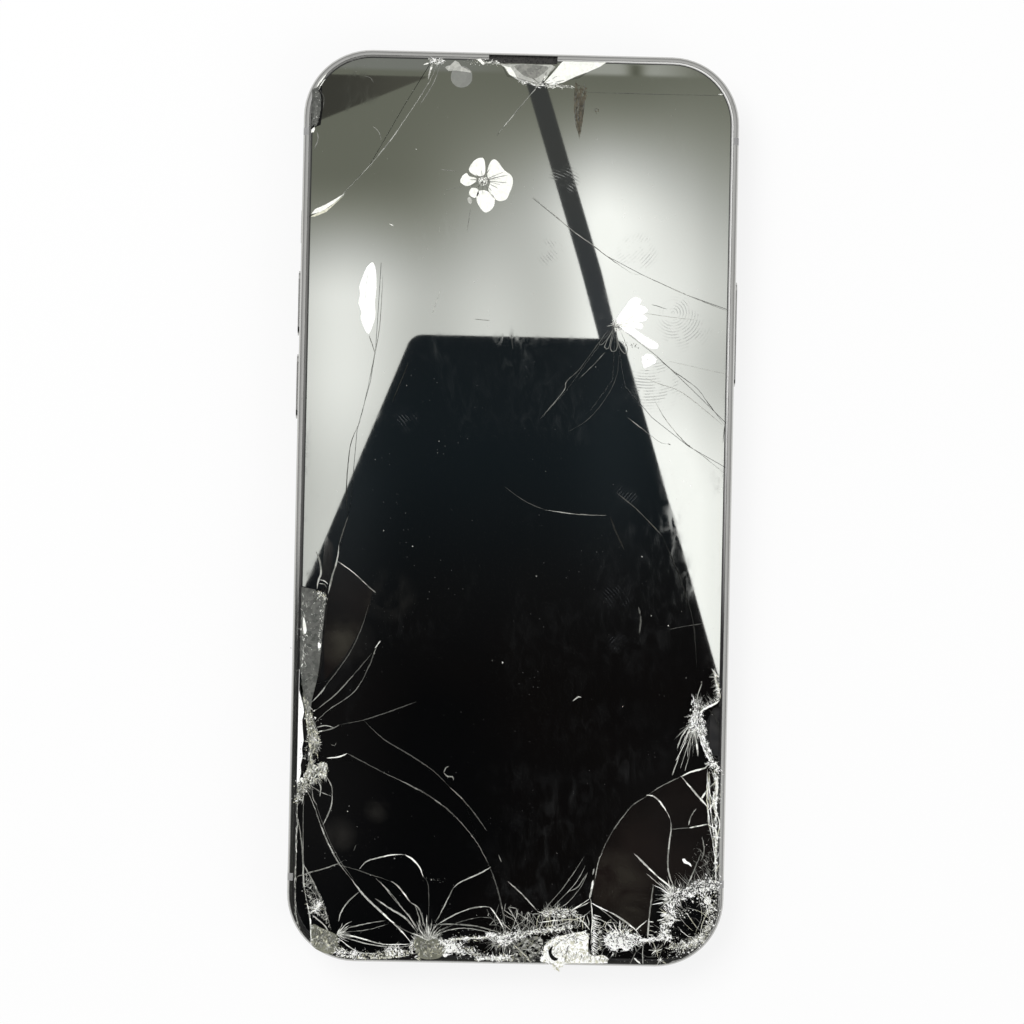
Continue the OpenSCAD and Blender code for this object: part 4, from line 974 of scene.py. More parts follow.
# Crushed band along the bottom left
BAND = [(-27, -72.6), (-26.7, -71), (-25.6, -71.5), (-24.4, -72.3), (-22, -72.3), (-20, -72.1),
        (-18.6, -71.2), (-17.4, -71.3), (-15.6, -71.5), (-14.6, -71.9), (-16, -72.4), (-19, -72.8),
        (-23, -72.9)]
mosaic(crush, BAND, 0.3, ("bright", "cream", "facet", "pale"), keep=0.8)
whiskers(crush, [(-26.6, -71.6), (-22, -72.4), (-18.4, -71.6), (-15, -71.8)], 120, (0.3, 1.0), 0.09, MIXED,
         (1,), 0.5, 0.1)
bundle(crush, [(-26.8, -72), (-25.2, -72.3), (-23.6, -72.4)], 0.26, 90, (0.3, 0.9), 0.1, WHITE, 0.9)
bundle(crush, [(-18.9, -71.6), (-17.6, -71.2), (-16.5, -71.7)], 0.24, 90, (0.3, 0.9), 0.1, WHITE, 0.9)

# Lower impact: hackle over the facet, fine rays above, bright splinters at its right
burst(crush, (-12.4, -69.8), 46, (1.4, 4.4), 0.09, ("grey", "pale", "bright"), arc=(20, 160))
whiskers(crush, [(-14.6, -69.7), (-12.5, -69.2), (-10, -70)], 90, (0.4, 1.6), 0.08,
         ("pale", "bright", "grey"), (1,), 0.3)
whiskers(crush, [(-14.3, -71.4), (-12.4, -70.4), (-10.2, -71.4)], 60, (0.4, 1.3), 0.08,
         ("cream", "pale", "facet"), (1, -1), 0.5)
bundle(crush, [(-14.8, -70), (-14.9, -71.6), (-14, -72.6)], 0.2, 70, (0.3, 1.0), 0.1, LIGHT, 0.7)
mosaic(crush, [(-10, -69.9), (-8.9, -70.4), (-7.3, -70.6), (-6.6, -71.2), (-7.4, -71.6), (-8.8, -71.7),
               (-9.4, -72.4), (-10, -72)],
       0.28, WHITE, keep=0.9)
bundle(crush, [(-10.2, -70.2), (-8.4, -70.8), (-6.6, -71.2)], 0.36, 150, (0.3, 1.1), 0.1, WHITE, 0.9)

# Ridge to the middle of the bottom
RIDGE_1 = [(-8, -70.8), (-6.6, -71), (-5.2, -71.4), (-4.2, -72.4)]
RIDGE_2 = [(-9, -69.6), (-6, -69.3), (-4, -69.2), (-2.5, -68.9), (-1, -69.2), (0.6, -69.1), (2.4, -68.6),
           (4.4, -68.1), (6.4, -67.9), (8.4, -67.6), (10.5, -67.1)]
bundle(crush, RIDGE_1, 0.2, 110, (0.3, 1.2), 0.1, LIGHT, 0.6)
whiskers(crush, RIDGE_1, 40, (0.4, 1.5), 0.08, MIXED, (1, -1), 0.5)
bundle(crush, RIDGE_2[:5], 0.13, 120, (0.3, 1.1), 0.1, LIGHT, 0.35)
bundle(crush, RIDGE_2[3:7], 0.3, 240, (0.3, 1.3), 0.11, WHITE, 0.45)
bundle(crush, RIDGE_2[5:], 0.22, 230, (0.3, 1.4), 0.1, LIGHT, 0.45)
bundle(gaps, RIDGE_2[3:], 0.3, 110, (0.2, 0.8), 0.1, "ink", 0.9)
bundle(gaps, RIDGE_1, 0.3, 40, (0.2, 0.8), 0.1, "ink", 0.9)
bundle(gaps, [(-26.8, -72), (-22, -72.5), (-18.9, -71.6), (-15, -71.8)], 0.3, 100, (0.2, 0.8), 0.1, "ink",
       0.9)
bundle(gaps, [(6.6, -70.6), (9, -69.8), (12.8, -69)], 0.5, 50, (0.2, 0.7), 0.07, ("grey", "dim"), 0.9)
bundle(gaps, [(16.4, -69.6), (18.6, -68.9), (21, -69.2)], 0.6, 70, (0.2, 0.8), 0.1, "ink", 1.0)
bundle(gaps, [(5.8, -65), (8, -64.9), (11, -65)], 0.3, 70, (0.2, 0.8), 0.1, "ink", 0.9)
mosaic(crush, [(-2.6, -68.6), (-1, -68.8), (0.8, -68.7), (2.6, -68.2), (3.4, -68.4), (1.6, -69.4),
               (0.4, -70.4), (-0.8, -70.3), (-1.6, -69.5)], 0.26, WHITE, keep=0.92)
whiskers(crush, RIDGE_2[:5], 60, (0.3, 1.2), 0.08, MIXED, (1, -1), 0.5)
whiskers(crush, RIDGE_2[4:8], 90, (0.5, 2.4), 0.07, ("pale", "bright", "grey"), (1,), 0.7, 0.2)
whiskers(crush, [(-2, -69.4), (-0.6, -70.2), (0.8, -69.8)], 60, (0.8, 3.0), 0.12, LIGHT, (-1,), 0.4)
bundle(crush, [(-4.7, -72.5), (-3, -72.3), (-1.2, -72.5), (0.4, -72), (1, -72.7)], 0.24, 130, (0.3, 1.1), 0.1,
       LIGHT, 1.2)
whiskers(crush, [(-5, -72.8), (-2, -72.7), (1, -72.9)], 70, (0.4, 1.8), 0.1, MIXED, (1,), 0.5)

# Loose net between the ridge and the crack above it
web(crush, [(-3, -64.6), (0, -63.6), (2.6, -64.8), (5.4, -65.2), (6.4, -67.6), (1, -68.4), (-2, -68.2)], 1.3,
    0.09,
    ("grey", "pale", "dim"), keep=0.75)
for start, end in (((0.4, -64.2), (2.4, -67.8)), ((1.6, -64.9), (5, -67.2)), ((-0.3, -65.4), (2.6, -67)),
                   ((2, -64.4), (1, -68)), ((3.6, -65), (3.2, -68)), ((4.6, -65.4), (2.4, -68.2)),
                   ((-1, -66.4), (1.6, -68.6))):
    strand(crush, [start, ((start[0] + end[0]) / 2 + 0.15, (start[1] + end[1]) / 2), end], 0.12,
           ("pale", "grey"))
grains(crush, scatter([(-2.4, -64.8), (5, -65.2), (6, -67.8), (-1, -68.4)], 0.4), 0.08, MIXED)
grains(crush, near_line([(5, -65.6), (9, -65.4), (12.6, -66.6)], 130, 0.5), 0.11, LIGHT)

# Speckled pane below the ridge
PANE = [(1, -69.8), (3, -69.1), (5.8, -68.9), (6, -70.9), (4.9, -72.9), (1.4, -72.9)]
mosaic(crush, PANE, 0.4, DULL, keep=0.75)
web(crush, PANE, 0.7, 0.08, ("grey", "dim", "pale"), keep=0.6)
strand(crush, [(1.4, -70.2), (2.8, -71.4), (4.2, -72.9)], 0.16, LIGHT)
strand(crush, [(5.6, -69.4), (3.6, -71), (2.2, -72.8)], 0.14, ("pale", "grey"))
grains(crush, scatter(PANE, 0.5), 0.08, MIXED)

# Crushed strip with bars hanging from it
STRIP = [(6, -64.6), (8, -64.3), (10.6, -64.4), (11.2, -65.2), (9, -65.7), (6.2, -65.6)]
bundle(crush, [(5.8, -65), (8, -64.9), (11, -65)], 0.22, 210, (0.3, 1.2), 0.1, LIGHT, 0.5)
mosaic(crush, STRIP, 0.3, LIGHT, keep=0.45)
whiskers(crush, [(6, -64.7), (8.4, -64.4), (11, -64.8)], 60, (0.4, 1.6), 0.08, MIXED, (1,), 0.6)
for k in range(13):
    x = 5.6 + 0.6 * k + rng.uniform(-0.15, 0.15)
    foot = -67.9 + 0.05 * (x - 5) + rng.uniform(-0.1, 0.2)
    strand(crush, [(x, -65.1), (x + rng.uniform(-0.5, 0.1), -66.4), (x - rng.uniform(0.1, 0.9), foot)], 0.09,
           LIGHT)
    strand(crush, [(x + 0.3, -65.3), (x + rng.uniform(0.2, 0.9), -66.5), (x + rng.uniform(0.4, 1.4), foot)],
           0.06, MIXED)
strand(crush, [(5.4, -66.6), (8, -66.2), (11, -66), (13.2, -66.6)], 0.13, LIGHT)
strand(crush, [(6.4, -67.2), (9, -66.8), (12.6, -65.4), (13.8, -64.4)], 0.13, MIXED)
strand(crush, [(10.6, -64.9), (12.4, -66.2), (13.6, -67.6)], 0.15, LIGHT)

# Big cream patch over the bottom edge
PATCH = [(6.3, -70.4), (7, -69.6), (8.4, -68.9), (10, -68.4), (12.6, -67.9), (13.4, -68.3), (13.5, -71.4),
         (14.6, -71.8), (15.8, -71.6), (16.8, -72.3), (16.6, -72.9), (9.8, -73.1), (9, -73.7), (8.3, -73.7),
         (7.9, -73.1), (5.8, -72.8), (6.2, -71.8)]
mosaic(crush, PATCH, 0.34, ("bright", "white", "white", "cream"), keep=1.0, rise=0.12, shrink=1.02)
whiskers(gaps, [(9.5, -71.9), (12, -71.5), (14, -72), (16, -72.2)], 24, (0.4, 1.2), 0.08, ("cream", "pale"),
         (-1,), 0.3)
bundle(crush, [(7, -70), (9.5, -69), (13, -68.6)], 0.3, 220, (0.4, 1.6), 0.1, WHITE, 0.6)
whiskers(crush, [(7.6, -72.2), (10, -72), (13, -72.4), (16, -72.6)], 120, (0.5, 2.6), 0.12,
         ("cream", "white", "bright"), (1,), 0.25, 0.15)
whiskers(crush, [(9, -72.9), (13, -72.9), (16.6, -72.8)], 90, (0.4, 1.5), 0.12, ("bright", "cream", "pale"),
         (1,), 0.3)
bundle(crush, [(6.2, -71.2), (6.6, -72.4), (7.6, -73)], 0.26, 110, (0.3, 1.0), 0.11, WHITE, 1.0)
hook = Bag()
strand(hook, [(7.7, -70.3), (7.3, -71.1), (7.5, -71.9), (8.1, -72.4), (8.6, -72.3)], 0.42, "ink", lift=0.03,
       z=GLASS_Z + 0.15)
strand(hook, [(13.75, -67.6), (13.7, -69.5), (13.8, -71.2)], 0.2, "ink", lift=0.02, z=GLASS_Z + 0.14)
strand(hook, [(10.2, -71.4), (10, -70.7), (10.4, -70.1)], 0.12, "dim", lift=0.02, z=GLASS_Z + 0.15)
strand(hook, [(-17, -72.7), (-15.4, -72.6), (-13.9, -71.9)], 0.3, "ink", lift=0.03, z=GLASS_Z + 0.05)
hook.piece("dark_gaps")
grains(crush, near_line([(8.1, -73.2), (8.9, -73.6)], 90, 0.26), 0.26, ("cream", "bright"), z=GLASS_Z - 0.12)

# Hatched strip beside the patch
for k in range(46):
    y = -65.2 - 0.14 * k + rng.uniform(-0.05, 0.05)
    x = 14 + rng.uniform(-0.1, 0.2)
    needle(crush, x, y, rng.uniform(-0.75, -0.25), rng.uniform(0.5, 1.7), 0.11, WHITE)
whiskers(crush, [(14.1, -66), (15.2, -67.6), (15.3, -70.8)], 90, (0.3, 1.3), 0.08, MIXED, (1, -1), 0.5, 0.12)

# Patch and ridge toward the right impact
PATCH_2 = [(16, -69.4), (16.6, -68.4), (17.6, -67.7), (18.6, -68), (19.8, -68.1), (21.6, -68.7),
           (20.9, -69.9), (19.6, -70.9), (18.6, -70.4), (17.6, -70.9), (16.6, -70.2)]
mosaic(crush, PATCH_2, 0.28, WHITE, keep=0.92, rise=0.1)
whiskers(crush, PATCH_2 + PATCH_2[:1], 150, (0.3, 1.5), 0.1, WHITE, (1, -1), 0.8, 0.2)
bundle(crush, [(16.2, -69.6), (18.6, -68.8), (21, -69.2)], 0.4, 200, (0.3, 1.2), 0.1, WHITE, 1.0)
for tip in ((17.2, -66.2), (18.4, -65.9), (19.6, -66.6), (16.4, -66.6), (20.6, -67.4), (15.6, -67.4)):
    strand(crush, [(18.6, -68.6), ((18.6 + tip[0]) / 2, (tip[1] - 68.6) / 2), tip], 0.12, LIGHT)
web(crush, [(15.6, -66.4), (18.6, -65.6), (20.8, -67.6), (19, -68.6), (16.4, -68.4)], 0.8, 0.08, MIXED,
    keep=0.6)
RIDGE_3 = [(20.4, -69.4), (22, -69.2), (24, -69), (25.2, -68.7), (26.4, -68.4)]
RIDGE_4 = [(26.2, -68.8), (25.6, -67.6), (26, -66.6), (26.9, -65.6), (26.6, -64.4), (26.9, -63),
           (27.6, -61.8)]
RIDGE_5 = [(26.8, -62.4), (28.2, -61.6), (29.7, -61.2), (31.2, -60.6), (32.6, -60.2), (33.7, -60)]
bundle(crush, RIDGE_3, 0.14, 170, (0.3, 1.1), 0.1, WHITE, 0.4)
whiskers(crush, RIDGE_3, 90, (0.3, 1.0), 0.08, LIGHT, (1, -1), 0.5)
for ridge, wide in ((RIDGE_4, 0.28), (RIDGE_5, 0.26)):
    bundle(crush, ridge, wide, 220, (0.2, 1.1), 0.12, WHITE, 1.1)
    whiskers(crush, ridge, 130, (0.4, 2.6), 0.08, LIGHT, (1, -1), 0.7, 0.2)
    bundle(gaps, ridge, 0.4, 90, (0.2, 0.8), 0.12, "ink", 0.9)
mosaic(crush, [(26, -65), (26.4, -63.4), (27.2, -62), (28.2, -61.6), (27.7, -62.6), (27.2, -63.6),
               (27.3, -65.2), (26.7, -66)],
       0.26, WHITE, keep=0.95, rise=0.1)
mosaic(crush, [(28.4, -61.5), (30, -60.9), (31.8, -60.3), (33.7, -59.8), (33.8, -60.6), (32, -60.8),
               (30, -61.4), (28.6, -61.8)],
       0.26, WHITE, keep=0.95, rise=0.1)
burst(crush, (27.1, -62.4), 60, (1.4, 4.6), 0.1, ("bright", "pale", "white", "grey"), arc=(88, 215))
burst(crush, (26.6, -65), 34, (0.9, 2.6), 0.1, LIGHT, arc=(120, 260))
whiskers(crush, RIDGE_5, 110, (1.2, 4.2), 0.08, ("grey", "pale", "dim"), (1,), 0.4)
for dy in (-66.1, -66.8, -67.5, -68.2):
    strand(crush, [(23, dy), (23.9, dy - 0.1)], 0.1, MIXED)
grains(crush, scatter([(30, -55), (33.8, -53), (33.8, -59.4), (29, -61)], 0.42), 0.07,
       ("grey", "pale", "dim"))
bundle(crush, [(31.4, -54.4), (32.4, -57), (33.2, -58.6)], 0.8, 90, (0.3, 1.6), 0.06, ("dim", "dim", "grey"),
       0.6)

# Lower right corner: a net over black, denser at its rim
CORNER = [(28, -62.8), (31, -61.6), (33.7, -61), (33.8, -64), (32.8, -67.4), (30.4, -70.2), (27.6, -71.8),
          (24.8, -72.4), (24.2, -70.6), (26.6, -68.9), (27.6, -66)]
web(crush, CORNER, 1.5, 0.07, ("grey", "dim", "dim"), keep=0.3)
for line in (
    ((28.2, -63.4), (29.4, -65), (31, -67.2)), ((28, -65.2), (29, -66.4), (30.3, -67.5)),
    ((29, -63.7), (31.4, -64.4), (33.4, -66)),
    ((33.3, -61.6), (32.6, -64), (33.2, -66.4)), ((31, -62), (31.6, -65), (30.6, -68)),
    ((27.7, -66.8), (29.6, -68.4), (32.2, -68.2)),
    ((33.7, -62.6), (31.8, -66), (31.4, -69)),
):
    strand(crush, line, 0.08, MIXED)
mosaic(crush, disc((32.5, -62.6), 0.6, 9), 0.3, WHITE)
bundle(crush, [(32.2, -62), (32.9, -63.2), (32.7, -64.4)], 0.25, 50, (0.3, 0.9), 0.1, LIGHT, 0.9)
bundle(crush, [(26.6, -70.1), (28.6, -69.9), (30.4, -69.3), (32, -68.2), (33, -66.8)], 0.42, 320, (0.2, 0.9),
       0.09, MIXED, 1.2)
grains(crush, near_line([(26.4, -70.6), (29.4, -70), (32.2, -68.2), (33.4, -65)], 260, 0.5), 0.11, LIGHT)
grains(crush, near_line([(33.7, -61), (33.6, -64), (32.4, -67.6)], 120, 0.25), 0.12, MIXED)
grains(crush, scatter(CORNER, 0.6), 0.08, ("pale", "grey", "dim", "bright"))
grains(crush, near_line([(31, -62.4), (32.6, -63.4), (33.2, -65)], 90, 0.6), 0.12, LIGHT)
web(crush, [(17, -70.8), (21, -70.2), (25.6, -69.8), (26.2, -72.4), (17.6, -72.8)], 1.5, 0.08,
    ("dim", "grey"), keep=0.4)
burst(crush, (24.4, -70.8), 14, (0.5, 1.8), 0.09, MIXED)
burst(crush, (25, -72.3), 10, (0.4, 1.2), 0.09, MIXED)
grains(crush, scatter([(17, -71), (26, -70), (26, -72.8), (17, -72.9)], 0.9), 0.07, MIXED)

# Fibres down the right edge
for k in range(6):
    x = rng.uniform(32.2, 33.8)
    top, foot = rng.uniform(-45.5, -40.8), rng.uniform(-57, -46)
    sway = rng.uniform(-0.5, 0.3)
    strand(crush, [(x - 0.4, top), (x + sway, (top * 2 + foot) / 3), (x - sway, (top + foot * 2) / 3),
                   (33.7, foot)], 0.12, LIGHT,
           wander=0.06)
bundle(crush, [(33.2, -41.4), (33.6, -44), (33.5, -47)], 0.26, 50, (0.4, 2.0), 0.09, LIGHT, 0.4)
bundle(crush, [(33.6, -49), (33.7, -53)], 0.2, 24, (0.3, 1.4), 0.09, LIGHT, 0.4)
bundle(crush, [(33.7, -52), (33.75, -59)], 0.1, 90, (0.3, 1.2), 0.09, LIGHT, 0.3)
whiskers(crush, [(33.5, -42), (33.4, -48), (33.6, -53)], 36, (0.4, 1.8), 0.08, MIXED, (-1,), 0.9)
bundle(crush, [(32, -40.6), (33, -40.6), (33.6, -41.6)], 0.2, 70, (0.3, 1.0), 0.11, WHITE, 0.6)

# Star on the right edge
mosaic(crush, [(30.1, -31), (30.4, -32), (30.7, -33.4), (30.5, -34.8), (31, -35.6), (30, -35), (29.1, -35.2),
               (29.3, -34), (29.6, -32.4)], 0.28, WHITE, keep=0.9, rise=0.1)
bundle(crush, [(30.2, -30.2), (30, -32.6), (29.6, -35)], 0.34, 170, (0.4, 1.8), 0.1, WHITE, 0.4)
bundle(gaps, [(30.1, -31), (30, -33), (29.8, -35)], 0.5, 46, (0.2, 0.8), 0.11, "ink", 0.6)
burst(crush, (30, -33), 22, (0.7, 2.0), 0.08, LIGHT, arc=(60, 330))
burst(crush, (30.3, -32.6), 12, (2.0, 4.0), 0.08, ("pale", "bright", "grey"), arc=(70, 110))
burst(crush, (29.6, -33.6), 10, (2.4, 5.4), 0.08, ("pale", "bright", "grey"), arc=(222, 250))
burst(crush, (29.8, -34), 34, (2.4, 7.4), 0.07, ("bright", "pale", "grey", "dim"), arc=(236, 296))
bundle(crush, [(30.6, -34.8), (31.4, -37), (32.6, -39.6)], 0.2, 170, (0.4, 1.6), 0.1, WHITE, 0.3)
whiskers(crush, [(30.3, -32.4), (32, -31.2), (33.7, -30.2)], 80, (0.6, 2.4), 0.08, LIGHT, (1,), 0.35)
bundle(crush, [(30.6, -32.4), (31.3, -34.4), (31.3, -36)], 0.2, 70, (0.3, 1.2), 0.1, WHITE, 0.5)
bundle(crush, [(33, -26), (33.3, -27.6), (33.7, -29.4)], 0.15, 70, (0.3, 1.1), 0.09, LIGHT, 0.5)
whiskers(crush, [(33, -25.6), (33.4, -27.6), (33.8, -29.6)], 50, (0.4, 1.6), 0.08, LIGHT, (-1,), 0.5)
plate(crush, [(28.3, -56), (28.6, -56.6), (29.3, -56.8), (29.8, -57.2), (29.6, -56.6), (29, -56.3),
              (28.7, -55.9)], "white")
for x, y, reach, count in ((32.4, -66.6, 0.8, 50), (30.6, -69.6, 0.9, 60), (28.2, -70.6, 0.9, 50),
                           (33.2, -63.6, 0.5, 50), (31.6, -62.4, 0.5, 40), (28.6, -64.6, 0.7, 30)):
    grains(crush, near_line([(x, y), (x + 0.3, y + 0.3)], count, reach), 0.2,
           ("white", "bright", "pale", "grey"))

# Spine of crushed glass down the left edge
SPINE = [(-33, -31), (-32.4, -33.4), (-31.9, -35.4), (-31.4, -37.4), (-31.2, -38.6)]
SPINE_2 = [(-31.3, -38.4), (-31.6, -40.2), (-31.6, -41.8), (-32, -43.4), (-33, -45.6), (-33.7, -47.6)]
for path, wide, count in ((SPINE[:3], 0.2, 90), (SPINE[2:], 0.3, 100), (SPINE_2, 0.3, 150)):
    bundle(crush, path, wide, count, (0.4, 2.0), 0.14, ("cream", "facet", "pale", "grey"), 0.22)
mosaic(crush, [(-33, -31.6), (-32.4, -31.8), (-31.6, -34.6), (-31.2, -36.2), (-30.4, -38), (-31, -39.4),
               (-31.1, -41), (-31.8, -42), (-32.4, -42.6), (-31.9, -40.4), (-32.2, -38.6), (-32.4, -36.6),
               (-32.8, -34)], 0.5,
       ("cream", "facet", "pale", "facet"), keep=0.95, shrink=1.0)
strand(crush, [(-32.9, -32), (-32, -35.4), (-31.4, -38.4)], 0.2, ("cream", "bright"))
plate(gaps, [(-31.5, -40.2), (-31.1, -40.1), (-31, -41), (-31.4, -41.2)], "ink")
mosaic(crush, [(-32.6, -43), (-31.4, -41.6), (-30.7, -42.2), (-30.2, -41.4), (-29.3, -41.6), (-29, -42.6),
               (-29.6, -43.8), (-31, -44), (-32.6, -45.6), (-33.8, -47.6), (-33.8, -45)], 0.36,
       ("cream", "pale", "bright", "facet"), keep=0.85)
bundle(crush, [(-30.4, -41.8), (-29.6, -42.2), (-29.4, -43.2)], 0.24, 46, (0.3, 1.0), 0.12, LIGHT, 0.7)
bundle(gaps, [(-33.4, -46), (-31.4, -43.6), (-29.8, -42.4)], 0.4, 60, (0.2, 0.8), 0.1,
       ("grey", "facet", "dim"), 0.7)
whiskers(crush, [(-33, -46), (-31.4, -44.3), (-29.4, -43.6)], 90, (0.4, 1.7), 0.09,
         ("cream", "pale", "bright"), (-1,), 0.35)
whiskers(crush, [(-31.6, -36), (-30.6, -38.2), (-31.1, -40)], 40, (0.3, 0.8), 0.09, MIXED, (1,), 0.5)
whiskers(crush, [(-32.4, -33.4), (-32.2, -37), (-32.6, -41)], 40, (0.3, 0.9), 0.09, MIXED, (-1,), 0.5)

# Solid white core of the ridges
for ridge, wide in ((RIDGE_1, 0.2), (RIDGE_2[:4], 0.25), (RIDGE_2[3:7], 0.75), (RIDGE_2[6:], 0.45),
                    (RIDGE_3, 0.4), (RIDGE_4, 0.85), (RIDGE_5, 1.3),
                    ([(17, -69), (19, -68.7), (21, -69.2)], 1.2),
                    ([(30.1, -31.2), (30, -33), (29.8, -35)], 0.9),
                    ([(30.6, -34.8), (31.4, -37), (32.6, -39.6)], 0.5),
                    ([(-9.8, -70.4), (-8.4, -70.8), (-7, -71)], 1.0),
                    ([(-26.6, -72), (-25.2, -72.2), (-24, -72.3)], 0.5),
                    ([(-18.8, -71.6), (-17.6, -71.3), (-16.6, -71.7)], 0.6),
                    ([(6, -65), (8.4, -64.9), (11, -65)], 0.45),
                    ([(33.2, -41.4), (33.6, -44), (33.5, -48), (33.7, -53)], 0.3),
                    ([(33.7, -52), (33.75, -59)], 0.25), ([(28.6, -70), (30.4, -69.3), (32, -68.2)], 0.4),
                    ([(-30.6, -65.4), (-30.1, -64.3)], 0.6), ([(-4.6, -72.5), (-1.2, -72.4), (0.6, -72.2)],
                                                              0.35)):
    strand(crush, ridge, wide, WHITE, wander=0.1, lift=0.01, step=0.22, swing=0.6)
    whiskers(crush, ridge, round(60 * wide), (0.4, 1.2), 0.12, WHITE, (1, -1), 0.7, 0.5 * wide)

# Clumps of white powder in the middle of the ridges, with black between them
for ridge, count, reach in ((RIDGE_2[3:7], 70, 0.35), (RIDGE_2[6:], 60, 0.22), (RIDGE_4, 110, 0.38),
                            (RIDGE_5, 300, 0.5), (RIDGE_3, 50, 0.16),
                            ([(17, -69), (19, -68.7), (21, -69.2)], 130, 0.5),
                            ([(30.1, -31.4), (29.8, -35)], 60, 0.34),
                            ([(30.6, -34.8), (31.4, -37), (32.6, -39.6)], 50, 0.2),
                            ([(-9.8, -70.4), (-7, -71)], 60, 0.4), ([(-26.6, -72), (-24, -72.3)], 50, 0.26),
                            ([(-18.8, -71.6), (-16.6, -71.7)], 50, 0.26),
                            ([(-4.7, -72.5), (0.6, -72.3)], 50, 0.24), ([(6, -65), (11, -65)], 50, 0.2)):
    grains(crush, near_line(ridge, count, reach), 0.26, WHITE)
    grains(gaps, near_line(ridge, count // 4, reach * 1.4), 0.16, "ink", z=GLASS_Z + 0.02)
grains(crush, near_line(SPINE[1:] + SPINE_2, 190, 0.36), 0.26, ("bright", "cream", "facet", "pale", "white"))
grains(gaps, near_line(SPINE[1:] + SPINE_2, 50, 0.4), 0.16, ("ink", "dim"), z=GLASS_Z + 0.04)

# Crumbs along every ridge
for ridge, count in ((RIDGE_1, 90), (RIDGE_2, 260), (RIDGE_3, 90), (RIDGE_4, 150), (RIDGE_5, 150),
                     ([(-27, -72.2), (-19, -72.3), (-15, -71.8)], 150),
                     ([(6, -71), (12, -70), (19, -69)], 200), ([(33.5, -41), (33.5, -54)], 120),
                     ([(30, -31), (29, -37)], 120), (SPINE, 60), (SPINE_2, 90)):
    grains(crush, near_line(ridge, count, 0.6), 0.1, LIGHT)
crush.piece("crushed_glass")
for point in range(len(gaps.points)):
    x, y, z = gaps.points[point]
    gaps.points[point] = (x, y, z + 0.06)
gaps.piece("hackle_and_gaps")


# ---------------------------------------------------------------- flakes lifted under the glass

flakes = Bag()
plate(flakes, [(-8.4, 54.3), (-7.5, 55.9), (-6.2, 56.3), (-5.8, 55.2), (-5.9, 53.6), (-7.2, 53.4)], "bright")
plate(flakes, [(-5.4, 53.4), (-5.3, 54.8), (-4.7, 56), (-3.9, 55.9), (-2.7, 54.4), (-1.5, 53.5), (-1.3, 52.2),
               (-1.8, 50.7), (-2.3, 49.7), (-3.4, 49.4), (-4.3, 49.9), (-5.2, 51.2), (-4.9, 52.4)], "bright")
plate(flakes, [(-7.1, 49.8), (-6.7, 48.6), (-5.6, 47.5), (-4.4, 48.3), (-4.2, 49.9), (-5.5, 51),
               (-6.8, 50.9)], "bright")
plate(flakes, [(-9.7, 52.3), (-9.5, 53.2), (-8.8, 53.8), (-8.3, 53.3), (-7.2, 53), (-7.3, 52.4),
               (-8.6, 51.7)], "bright")
plate(flakes, [(-8.3, 50.6), (-7.9, 51.4), (-7, 51.3), (-6.7, 50.6), (-7.2, 49.9), (-7.9, 50)], "bright")
plate(flakes, [(-8.5, 49.8), (-8.1, 49.9), (-7.8, 49.3), (-8, 48.8), (-8.4, 49.1)], "pale")
LEAF = [(-23.5, 39), (-23, 37.5), (-22.9, 35), (-23.05, 32.6), (-22.95, 30.6), (-23.3, 29), (-24, 27.5),
        (-24.8, 28.6), (-25.3, 30), (-25.2, 31), (-25.65, 32.4), (-25.5, 34), (-25.6, 35.2), (-25, 37.1),
        (-24.3, 38.5)]
plate(flakes, LEAF, "white")
STAR = [(15.9, 30.3), (16.4, 31.6), (17.3, 32.9), (18.3, 34.2), (19.2, 34.4), (19.9, 33.9), (19.6, 33.2),
        (20.5, 32.9), (20.9, 32.2), (20.2, 31.6), (20.9, 31.1), (20.5, 30.6), (19.4, 30.4), (20.2, 30),
        (20, 29.3), (18.8, 29.4), (20.2, 28.4), (21.6, 27.6), (22.7, 26.9), (22.6, 26.2), (21.4, 26.2),
        (20, 27), (18.6, 28.1), (17.2, 28.9)]
plate(flakes, STAR, "white", smooth=0.3)
plate(flakes, [(20.1, 24.9), (21, 25.3), (21.8, 25.2), (22.5, 24.5), (22.4, 23.9), (21.4, 23.3), (20.5, 22.9),
               (20.2, 23.8)], "white",
      smooth=0)
plate(flakes, [(-33.6, 46.6), (-33, 47.4), (-31.3, 48.2), (-28.2, 50.1), (-30, 48.4), (-32, 47)], "bright",
      smooth=0)
plate(flakes, [(-33.7, 46.2), (-33, 46.2), (-31.2, 47), (-28.3, 49.8), (-30.8, 47.7), (-32.6, 46.8)], "cream",
      smooth=0)
# Earpiece end
plate(flakes, [(-3.7, 71.5), (-3.1, 71.1), (-2.3, 69.9), (-0.6, 68.9), (1.2, 68.5), (2.6, 68), (3.5, 69.3),
               (5.2, 71.3), (4.6, 71.6)],
      "pale", smooth=0)
plate(flakes, [(-1.2, 71.4), (-0.6, 70.3), (0.5, 69.6), (1.8, 69.3), (2.9, 69.9), (3.9, 71.3)], "grey",
      height=0.03)
plate(flakes, [(-3.5, 71.3), (-2.9, 71), (-2.2, 69.9), (-0.9, 69.2), (-1.4, 70.2), (-2, 71)], "bright",
      height=0.03, smooth=0)
plate(flakes, [(3.4, 68.7), (4.4, 69.8), (6, 71.8), (6.4, 72.2), (13.4, 72.2), (12.4, 71.5), (10.5, 70.6),
               (8.5, 69.8), (6.5, 68.8), (4.6, 68.3)], "bright", smooth=0)
plate(flakes, [(-12.6, 70.7), (-12.3, 71), (-11.8, 71.1), (-11, 71.9), (-10.4, 71.6), (-10, 71), (-8.5, 70.3),
               (-8.4, 70), (-10.8, 70.3), (-12, 70.2)], "pale", smooth=0)
plate(flakes, [(-7.5, 72.2), (-6.9, 72.3), (-6.2, 71.6), (-6.5, 71.3)], "bright", smooth=0)
flakes.piece("lifted_flakes")

